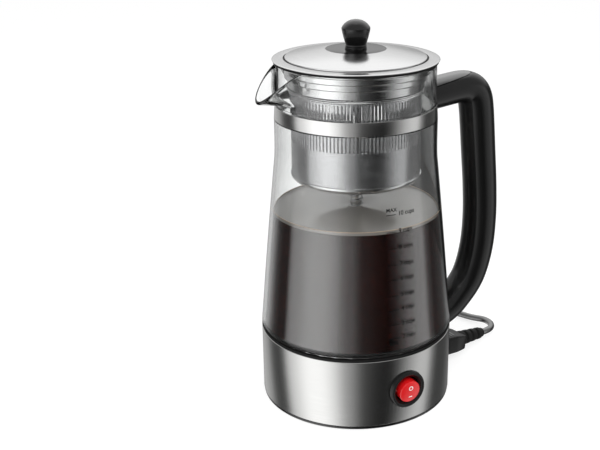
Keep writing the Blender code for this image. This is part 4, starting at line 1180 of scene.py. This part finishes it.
def make_pump():
    seat_top = spring_seat_height + spring_seat_thickness
    outline = [
        (tube_bore, tube_bottom), (tube_radius, tube_bottom), (tube_radius, spring_seat_height),
        (spring_seat_radius, spring_seat_height), (spring_seat_radius, seat_top),
        (tube_radius, seat_top), (tube_radius, tube_top), (tube_bore, tube_top),
    ]
    stem = turned("pump_stem", outline, steel_polished, small_sides, fine_edge)
    dressed(stem, "pump", "polished_steel", "pump_tube")
    collar = tube_radius + fit_gap
    top = pump_bottom + foot_height
    outline = [
        (foot_radius - foot_sheet, pump_bottom), (foot_radius, pump_bottom),
        (foot_radius, pump_bottom + foot_lip), bell_point(bell_outer_shares),
        (foot_waist_radius, pump_bottom + foot_height * bell_waist_share),
        (collar + foot_sheet, top), (collar, top), (collar, tube_bottom),
        (foot_waist_radius - foot_sheet, tube_bottom), bell_point(bell_inner_shares),
        (foot_radius - foot_sheet, pump_bottom + foot_lip / 2),
    ]
    bell = turned("pump_bell", outline, steel_polished, medium_sides, medium_edge)
    dressed(bell, "pump", "polished_steel", "pump_foot")
    wire = spring_wire / 2
    low = seat_top + fit_gap + wire
    high = basket_bottom - fit_gap - wire
    radius = tube_radius + 2 * fit_gap + wire
    steps = spring_curls * spring_curl_points
    points = [
        polar(radius, full_turn * index / spring_curl_points, low + (high - low) * index / steps)
        for index in range(steps + 1)
    ]
    spring = tube("coil_spring", points, wire, steel_satin, spring_resolution)
    dressed(spring, "pump", "satin_steel", "pump_spring")


def holed_sheet(name, rows, columns, holes, finish):
    """A spun sheet, pierced where holes(row, column) gives the hole's shares of its cell."""
    form = bmesh.new()
    grid = [
        [form.verts.new(polar(radius, full_turn * step / columns, height)) for step in range(columns)]
        for radius, height in rows
    ]
    for row, (low, high) in enumerate(zip(grid, grid[1:])):
        for column in range(columns):
            follow = (column + 1) % columns
            corners = (low[column], low[follow], high[follow], high[column])
            pierced = holes(row, column)
            if pierced is None:
                form.faces.new(corners)
                continue
            wide, tall = pierced
            places = [vert.co for vert in corners]
            middle = sum(places, Vector()) / 4
            along = (places[1] - places[0] + places[2] - places[3]) / 4
            up = (places[3] - places[0] + places[2] - places[1]) / 4
            inner = [
                form.verts.new(middle + along * a * wide + up * b * tall)
                for a, b in ((-1, -1), (1, -1), (1, 1), (-1, 1))
            ]
            for index in range(4):
                after = (index + 1) % 4
                form.faces.new((corners[index], corners[after], inner[after], inner[index]))
    sheet = shown(name, open_mesh(name, form), finish)
    wall = sheet.modifiers.new("sheet", "SOLIDIFY")
    wall.thickness = basket_sheet
    wall.offset = -1.0
    return sheet


def make_basket():
    hub = tube_radius + fit_gap
    start = hub + hub_wall
    floor_edge = basket_radius - basket_corner
    rim_low = basket_top - basket_rim_thickness

    def corner(reach, index):
        """A point of the round corner between floor and wall."""
        angle = full_turn / 4 * index / corner_rows
        return (
            floor_edge + reach * math.sin(angle),
            basket_bottom + basket_corner - reach * math.cos(angle),
        )

    rows = [
        (start + (floor_edge - start) * index / floor_rows, basket_bottom)
        for index in range(floor_rows + 1)
    ]
    rows += [corner(basket_corner, index) for index in range(1, corner_rows + 1)]
    wall_row = len(rows)
    rows += [(basket_radius, height) for height in (*slot_heights, rim_low)]

    def holes(row, column):
        """Tall slots in two rows of the wall, and four petals of small holes in the floor."""
        if row >= floor_rows:
            slotted = row in (wall_row, wall_row + 2) and column % 2 == 0
            return slot_shares if slotted else None
        radius = rows[row][0]
        share = (radius - hub) / (floor_edge - hub)
        petal = abs((column / mesh_columns * petals + 0.5) % 1 - 0.5) * 2
        width = petal_width_share * math.sin(math.pi * min(share / petal_length_share, 1)) ** petal_power
        inside = petal_start_share < share < petal_end_share and petal < width
        return petal_shares if inside and radius > petal_radius and row % 2 == column % 2 else None

    wall = holed_sheet("basket_sheet", rows, mesh_columns, holes, steel_sheet)
    dressed(wall, "basket_unit", "perforated_steel", "basket")
    outline = ring_of(
        basket_radius - basket_sheet, basket_radius + basket_rim_width, rim_low, basket_top
    )
    rim = turned("basket_rim", outline, steel_satin, radius=soft_edge)
    dressed(rim, "basket_unit", "perforated_steel")
    near = basket_corner + basket_foot_gap
    line = [corner(near, index) for index in range(corner_rows + 1)]
    line += [corner(near + basket_foot_sheet, index) for index in range(corner_rows, -1, -1)]
    lower = turned("basket_foot", line[::-1], steel_polished, radius=0)
    dressed(lower, "basket_unit", "perforated_steel")
    outline = [
        (hub, basket_bottom), (start + skin_gap, basket_bottom),
        (start, basket_bottom + basket_hub_height), (hub, basket_bottom + basket_hub_height),
    ]
    sleeve = turned("basket_hub", outline, steel_satin, small_sides)
    dressed(sleeve, "basket_unit", "perforated_steel")


def make_basket_cover():
    hub = tube_radius + fit_gap
    start = hub + hub_wall
    plug = basket_radius - basket_sheet - fit_gap
    low = basket_top - cover_drop
    top = basket_top + fit_gap + basket_sheet
    rows = [(start + (plug - start) * index / cover_rows, low) for index in range(cover_rows + 1)]
    rows += [(plug, low + (top - low) * share) for share in (0.5, 1.0)]

    def holes(row, column):
        return cover_hole_shares if row in cover_hole_rows and column % cover_hole_every == 0 else None

    cover = holed_sheet("spreader", rows, cover_columns, holes, steel_satin)
    dressed(cover, "basket_lid", "satin_steel", "basket_cover")
    outline = ring_of(plug - basket_sheet, basket_radius + basket_rim_width, top - basket_sheet, top)
    dressed(turned("spreader_lip", outline, steel_satin), "basket_lid", "satin_steel")
    outline = ring_of(hub, start, low, low + cover_hub_height)
    sleeve = turned("spreader_hub", outline, steel_satin, small_sides)
    dressed(sleeve, "basket_lid", "satin_steel")


# Lid and knob


def make_lid():
    groove_in = lid_groove_radius - lid_groove_width / 2
    groove_out = lid_groove_radius + lid_groove_width / 2
    groove_low = lid_top - lid_groove_depth
    disc_top = lid_top + lid_disc_height
    foot = lid_top + lid_roll
    outline = [
        (lid_disc_radius, disc_top - lid_sheet), (groove_in - lid_sheet, foot - lid_sheet),
        (groove_in - lid_sheet, lid_under), (lid_radius - lid_roll, lid_under),
        (lid_radius, lid_under + lid_roll / 2), (lid_radius, lid_top - lid_roll),
        (lid_radius - lid_roll, lid_top - lid_flange_fall), (groove_out, lid_top),
        (groove_out, groove_low), (groove_in, groove_low), (groove_in, foot),
        (lid_disc_radius, disc_top),
    ]
    dressed(turned("lid_cone", outline, steel_lid), "lid", "satin_steel", "lid_plate")
    # Painted shade: a black ring in the rubber finish fills the groove, standing in for the shadow inside
    # it.
    outline = ring_of(
        groove_in + skin_gap, groove_out - skin_gap, groove_low + skin_gap, lid_top - skin_gap
    )
    dressed(turned("lid_groove_painted_shade", outline, black_soft, radius=0), "lid", "satin_steel")
    # The centre disc is the lid's own steel, painted near black as shade and dark reflection round the
    # knob.
    outline = ring_of(knob_hole, lid_disc_radius - skin_gap / 2, disc_top - lid_sheet, disc_top)
    dressed(turned("lid_centre", outline, steel_painted_shade, radius=disc_edge), "lid", "satin_steel")

    outer = []
    inner = []
    height = skirt_top
    for radius, drop in zip(skirt_step_radii, skirt_step_heights):
        low = height - drop
        inside = radius - skirt_sheet
        outer += [(radius, height), (radius, low + skirt_slope)]
        inner += [(inside, height + skirt_sheet), (inside, low + skirt_slope + skirt_sheet)]
        height = low
    inner[0] = (skirt_step_radii[0] - skirt_sheet, skirt_top)
    outer[-1] = (skirt_step_radii[-1], height)
    inner[-1] = (skirt_step_radii[-1] - skirt_sheet, height)
    skirt = turned("lid_steps", outer + inner[::-1], steel_polished, radius=broad_edge)
    dressed(skirt, "lid", "polished_steel", "lid_skirt")

    low = glass_rim_height + fit_gap + gasket_lift
    outline = ring_of(skirt_step_radii[0] + fit_gap, gasket_radius, low, lid_under - fit_gap)
    dressed(turned("lid_seal", outline, black_soft), "lid", "black_rubber", "lid_gasket")


def knob_line(shares):
    return [(knob_radius * share, knob_bottom + knob_height * up) for share, up in shares]


def make_knob():
    # The washer is polished steel, painted near black as shade under the knob.
    top = knob_ring_bottom + knob_ring_height
    outline = ring_of(knob_hole, knob_ring_radius, knob_ring_bottom, top)
    ring = turned("knob_washer", outline, steel_painted_shade, medium_sides)
    dressed(ring, "lid", "polished_steel", "knob_ring")
    seam = knob_bottom + knob_height * knob_shares[-1][1]
    seam_radius = knob_radius * knob_seam_share
    bore_top = knob_bottom + knob_bore_depth
    outline = [
        (0, bore_top), (knob_hole, bore_top), (knob_hole, knob_bottom), *knob_line(knob_shares),
        (seam_radius, seam), (seam_radius, seam + seam_width), *knob_line(knob_cap_shares),
    ]
    dressed(turned("knob_body", outline, black_satin, knob_sides), "lid", "black_plastic", "knob")


# Rocker switch


def make_switch():
    front = bezel_front
    outline = [
        (0, switch_body_back), (switch_body_radius, switch_body_back),
        (switch_body_radius, bezel_back), (bezel_radius, bezel_back),
        (bezel_radius, front - bezel_chamfer), (bezel_radius - bezel_chamfer, front),
        (bezel_radius - bezel_rim_width, front), (rocker_bore, front - bezel_dish_depth),
        (rocker_bore, rocker_bore_back), (0, rocker_bore_back),
    ]
    centre = (0, 0, switch_height)
    housing = turned(
        "switch_bezel", outline, black_gloss, switch_sides, at=centre, turn=facing_front
    )
    dressed(housing, "kettle", "black_plastic", "switch_housing")
    face = rocker_front - pivot_depth
    back = rocker_back - pivot_depth
    shoulder = face - rocker_crown
    pivot = Vector((0, -pivot_depth, switch_height))
    turn = (math.pi / 2 + rocker_tilt, 0, 0)
    outline = [
        (0, back), (rocker_radius, back), (rocker_radius, shoulder - rocker_corner),
        (rocker_radius - rocker_corner, shoulder),
    ]
    outline += [
        (rocker_radius * out, face - rocker_crown * down) for out, down in rocker_crown_shares
    ]
    button = turned("rocker_face", outline, red_lens, switch_sides, fine_edge, pivot, turn)
    dressed(button, "rocker_button", "red_plastic", "rocker")
    low = face - rocker_crown * mark_level_share - mark_depth
    outline = ring_of(mark_radius - mark_width, mark_radius, low, low + mark_ring_height)
    ring = turned("mark_off", outline, white_print, mark_sides, mark_edge)
    half = mark_width / 2
    far = (mark_bar_reach, half, low + mark_bar_height)
    bar = block("mark_on", (-mark_bar_reach, -half, low), far, white_print)
    for mark, up in ((ring, mark_distance), (bar, -mark_distance)):
        mark.rotation_euler = turn
        bpy.context.view_layer.update()
        mark.location = pivot + mark.rotation_euler.to_matrix() @ Vector((0, up, 0))
        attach(mark, "rocker_button")


# Connector, relief, lead, coil and plug


def make_connector():
    rings = []
    for along, share, tail in connector_stations:
        ring = []
        for across, up in rounded_section(
            connector_half_width * share, connector_half_height * share, connector_corner * share
        ):
            lean = up * math.tan(relief_dip) - across * math.tan(relief_yaw)
            height = inlet_height - connector_tail_drop * tail + up
            ring.append((along + lean * tail, across, height))
        rings.append(ring)
    body = swept("connector_body", rings, black_gloss)
    dressed(body, "kettle", "black_plastic", "connector")
    for index in range(grip_ribs):
        middle = inlet_front + rib_start + index * rib_pitch
        for side in ("top", "under"):
            surface = connector_half_height if side == "top" else -connector_half_height
            low = inlet_height + surface - rib_height / 2
            near = (middle - rib_half_thickness, -rib_half_width, low)
            far = (middle + rib_half_thickness, rib_half_width, low + rib_height)
            rib = block(f"grip_rib_{index}_{side}", near, far, black_shiny, edge_radius)
            dressed(rib, "kettle", "black_plastic")


def ribbed(length, root, tip, groove, ribs):
    """The outline of a tapering sleeve with grooves, from its root to its tip."""
    outline = [(0, 0)]
    for index in range(ribs):
        for share, drop in rib_shares:
            along = (index + share) / ribs
            outline.append((root + (tip - root) * along - groove * drop, length * along))
    return [*outline, (tip - groove / 2, length), (0, length)]


def relief_frame():
    """Where the strain relief starts and which way it points."""
    level = math.cos(relief_dip)
    across = level * math.sin(relief_yaw)
    forward = Vector((level * math.cos(relief_yaw), across, -math.sin(relief_dip)))
    start = Vector((connector_end, 0, inlet_height - connector_tail_drop)) + forward * fit_gap
    return start, forward


def make_relief():
    start, forward = relief_frame()
    outline = ribbed(
        relief_length, relief_root_radius, relief_tip_radius, relief_groove_depth, relief_ribs
    )
    turn = forward.to_track_quat("Z", "Y").to_euler()
    relief = turned("ribbed_relief", outline, black_soft, small_sides, soft_edge, start, turn)
    dressed(relief, "kettle", "black_rubber", "strain_relief")


def coil_frame(angle):
    """The outward and the forward direction at an angle of the coil."""
    return polar(1, angle, 0), Vector((-math.sin(angle), math.cos(angle), 0))


def coil_line():
    """The wound length: in along the lower layer, up where it reverses, and out along the upper."""
    centre = Vector((*coil_centre, 0))
    turning = full_turn * coil_layer_turns
    layer_angle = turning - math.pi / 2
    total = 2 * turning + coil_exit_angle
    steps = round(total / full_turn * coil_points_per_turn)
    points = []
    for index in range(steps + 1):
        swept_angle = total * index / steps
        inward = min(swept_angle, 2 * turning - swept_angle)
        radius = coil_outer_radius - coil_pitch * max(inward, 0) / full_turn
        climb = min(max((swept_angle - layer_angle) / math.pi, 0), 1)
        height = coil_height + coil_layer_rise * (1 - math.cos(math.pi * climb)) / 2
        outward, _ = coil_frame(coil_start_angle + swept_angle)
        points.append(centre + outward * radius + Vector((0, 0, height)))
    _, forward = coil_frame(coil_start_angle + total)
    points.append(points[-1] + forward * coil_tail)
    return points, forward


def make_tie():
    """The strap round both layers of the coil, as a hollow box with round corners."""
    reach = cord_diameter / 2
    near = coil_outer_radius - coil_pitch * (coil_layer_turns - 1 / 2) - reach - tie_clearance
    far = coil_outer_radius - coil_pitch / 2 + reach + tie_clearance
    low = coil_height - reach - fit_gap
    high = coil_height + coil_layer_rise + reach + fit_gap
    out, across = coil_frame(tie_angle)
    centre = Vector((*coil_centre, (low + high) / 2)) + out * (near + far) / 2
    half_width, half_height = (far - near) / 2, (high - low) / 2
    outside = rounded_section(half_width + tie_thickness, half_height + tie_thickness, tie_corner)
    inside = rounded_section(half_width, half_height, tie_inner_corner)
    rings = [
        [centre + out * a + across * shift * tie_width / 2 + Vector((0, 0, b)) for a, b in section]
        for section, shift in ((outside, -1), (outside, 1), (inside, 1), (inside, -1))
    ]
    strap = swept("lead_tie", rings, black_soft, True)
    dressed(strap, "kettle", "black_rubber", "cord_tie")
    return strap


def make_lead():
    start, forward = relief_frame()
    mouth = start + forward * relief_length
    wound, outward = coil_line()
    line = [mouth - forward * lead_sink, *smooth_through(cord_route, route_steps), *wound]
    lead = tube("mains_lead", line, cord_diameter / 2, cord_black, cord_resolution)
    dressed(lead, "kettle", "black_rubber", "power_cord", "cord_coil")
    strap = make_tie()

    turn = outward.to_track_quat("Z", "Y").to_euler()
    place_at = wound[-1] + outward * fit_gap
    outline = ribbed(
        plug_relief_length, plug_relief_tip_radius, plug_relief_root_radius,
        -relief_groove_depth / 2, relief_ribs,
    )
    relief = turned("plug_ribs", outline, black_soft, small_sides, medium_edge, place_at, turn)
    dressed(relief, "kettle", "black_rubber", "plug_relief")
    half = Vector((plug_length / 2, plug_half_width, plug_half_height))
    body = block("plug_body", -half, half, black_gloss, plug_bevel, plug_bevel_steps)
    body_start = place_at + outward * (plug_relief_length + fit_gap)
    body.location = body_start + outward * plug_length / 2
    body.rotation_euler = (0, 0, math.atan2(outward.y, outward.x))
    dressed(body, "kettle", "black_plastic", "mains_plug")
    going = [strap, relief, body]
    going += ["plug_blade_live", "plug_blade_neutral", "plug_earth_pin"]


# World, floor and lights


def seen_straight(nodes, path):
    """One for what the camera sees directly or through the glass."""
    return nodes.math("MAXIMUM", path["Is Camera Ray"], path["Is Transmission Ray"])


def make_world():
    """White behind the object for the camera, and a studio of soft strips for its reflections."""
    world = bpy.data.worlds.new("studio")
    bpy.context.scene.world = world
    world.use_nodes = True
    world.node_tree.nodes.clear()
    nodes = Nodes(world.node_tree)
    direction = nodes.add("ShaderNodeTexCoord").outputs["Generated"]
    x, y, z = nodes.add("ShaderNodeSeparateXYZ", direction).outputs
    turned_by = nodes.math("SUBTRACT", nodes.math("ARCTAN2", y, x), world_camera_azimuth)
    share = nodes.math("FRACT", nodes.math("ADD", nodes.math("DIVIDE", turned_by, full_turn), 1.5))
    stops = [((angle + 180) / 360, (level,) * 3) for angle, level in studio_pattern]
    height = nodes.math("ARCSINE", z)
    ease = "SMOOTHSTEP"
    above = nodes.mapped(height, 0, 1, overhead_start, overhead_full, ease)
    away = nodes.math("MULTIPLY", nodes.math("COSINE", turned_by), -1.0)
    behind = nodes.mapped(away, 0, 1, kind=ease)
    panel = nodes.mapped(
        height, back_level, back_panel_level, back_panel_start, back_panel_full, ease
    )
    overhead = nodes.add("ShaderNodeMix", behind, data_type="FLOAT")
    nodes.feed(overhead.inputs[2], side_level)
    nodes.feed(overhead.inputs[3], panel)
    studio = nodes.add("ShaderNodeMix", above, data_type="RGBA")
    nodes.feed(studio.inputs[6], nodes.ramp(share, stops))
    nodes.feed(studio.inputs[7], overhead.outputs[0])

    path = nodes.add("ShaderNodeLightPath").outputs
    scaled = nodes.add("ShaderNodeBackground", studio.outputs[2], studio_strength).outputs[0]
    white = nodes.add("ShaderNodeBackground", (1, 1, 1, 1), 1.0).outputs[0]
    soft = nodes.add("ShaderNodeBackground", (1, 1, 1, 1), soft_level).outputs[0]
    glossy_now = nodes.math("GREATER_THAN", path["Glossy Depth"], 0.5)
    reflected = nodes.math("MAXIMUM", path["Is Glossy Ray"], glossy_now)
    diffused = nodes.math("GREATER_THAN", path["Diffuse Depth"], 0.5)
    studio_seen = nodes.math("MULTIPLY", reflected, nodes.math("SUBTRACT", 1.0, diffused))
    plain = nodes.mixed(seen_straight(nodes, path), soft, white)
    nodes.add("ShaderNodeOutputWorld", nodes.mixed(studio_seen, plain, scaled))


def make_floor():
    """A pale floor that keeps the shadow and that reflections don't see."""
    form = bmesh.new()
    bmesh.ops.create_grid(form, x_segments=1, y_segments=1, size=floor_reach)
    made = bpy.data.materials.new("pale_floor")
    made.use_nodes = True
    made.node_tree.nodes.clear()
    nodes = Nodes(made.node_tree)
    path = nodes.add("ShaderNodeLightPath").outputs
    diffuse = nodes.add("ShaderNodeBsdfDiffuse", (floor_grey, floor_grey, floor_grey, 1)).outputs[0]
    extra = nodes.math("MULTIPLY", seen_straight(nodes, path), floor_white - 1)
    glow = nodes.add("ShaderNodeEmission", Strength=nodes.math("ADD", extra, 1.0)).outputs[0]
    clear = nodes.add("ShaderNodeBsdfTransparent").outputs[0]
    reflected = nodes.math("GREATER_THAN", path["Glossy Depth"], 0.5)
    lit = nodes.mixed(floor_glow, diffuse, glow)
    nodes.add("ShaderNodeOutputMaterial", nodes.mixed(reflected, lit, clear))
    mesh = open_mesh("floor", form)
    mesh.materials.append(made)
    floor = placed("floor", mesh)
    floor.visible_glossy = False


def make_card():
    """A dark card on the floor behind the object, to the right, that only the glass shows."""
    forward = Vector((math.sin(camera_turn), math.cos(camera_turn), 0))
    right = Vector((math.cos(camera_turn), -math.sin(camera_turn), 0))
    start = -forward * camera_distance + Vector((0, 0, skin_gap))
    corners = (
        (card_near, card_near_left), (card_near, card_right),
        (card_far, card_right), (card_far, card_far_left),
    )
    points = [start + forward * along + right * across for along, across in corners]
    mesh = bpy.data.meshes.new("dark_card")
    mesh.from_pydata(points, [], [(0, 1, 2, 3)])
    mesh.materials.append(principled("dark_card", (card_level,) * 3, 1.0)[0])
    card = placed("dark_card", mesh)
    card.visible_camera = card.visible_diffuse = card.visible_glossy = card.visible_shadow = False


def make_light(name, place_at, size, power):
    data = bpy.data.lights.new(name, "AREA")
    data.shape = "RECTANGLE"
    data.size, data.size_y = size
    data.energy = power
    data.spread = math.pi
    light = placed(name, data)
    light.location = place_at
    target = Vector((0, 0, light_aim_height)) - Vector(place_at)
    light.rotation_euler = target.to_track_quat("-Z", "Y").to_euler()
    light.visible_glossy = False


# Solids that stay as they are take a procedural finish

kept_finishes = (
    (black_soft, "rubber_foot_1", "rubber_foot_2", "rubber_foot_3", "rubber_foot_4"),
    (steel_satin, "centre_bolt", "heating_element", "collar_screw", "handle_screw"),
    (steel_satin, "valve_washer", "knob_screw", "rocker_pin"),
    (steel_polished, "heating_pan"),
    (aluminium, "heat_plate"),
    (ceramic, "thermal_fuse"),
    (black_gloss, "inlet_socket"),
    (brass_metal, "thermostat", "switch_terminal_line", "switch_terminal_load"),
    (brass_metal, "inlet_pin_live", "inlet_pin_neutral", "inlet_pin_earth"),
    (brass_metal, "plug_blade_live", "plug_blade_neutral", "plug_earth_pin"),
    (insulation, "wire_live", "wire_load", "wire_neutral", "wire_earth"),
)


def dress_solids():
    for finish, *nodes in kept_finishes:
        for node in nodes:
            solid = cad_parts[node]
            solid.data.materials.clear()
            solid.data.materials.append(finish)


make_lead()
make_base()
make_seals()
make_carafe()
make_coffee()
make_collar()
make_scale()
make_handle()
make_pump()
make_basket()
make_basket_cover()
make_lid()
make_knob()
make_switch()
make_connector()
make_relief()
dress_solids()
make_world()
make_floor()
make_card()
make_light("key", (-0.55, -0.75, 1.10), (0.9, 0.9), key_power)
make_light("fill", (0.90, -0.35, 0.70), (0.8, 0.8), fill_power)

bpy.context.scene.view_settings.view_transform = "Standard"
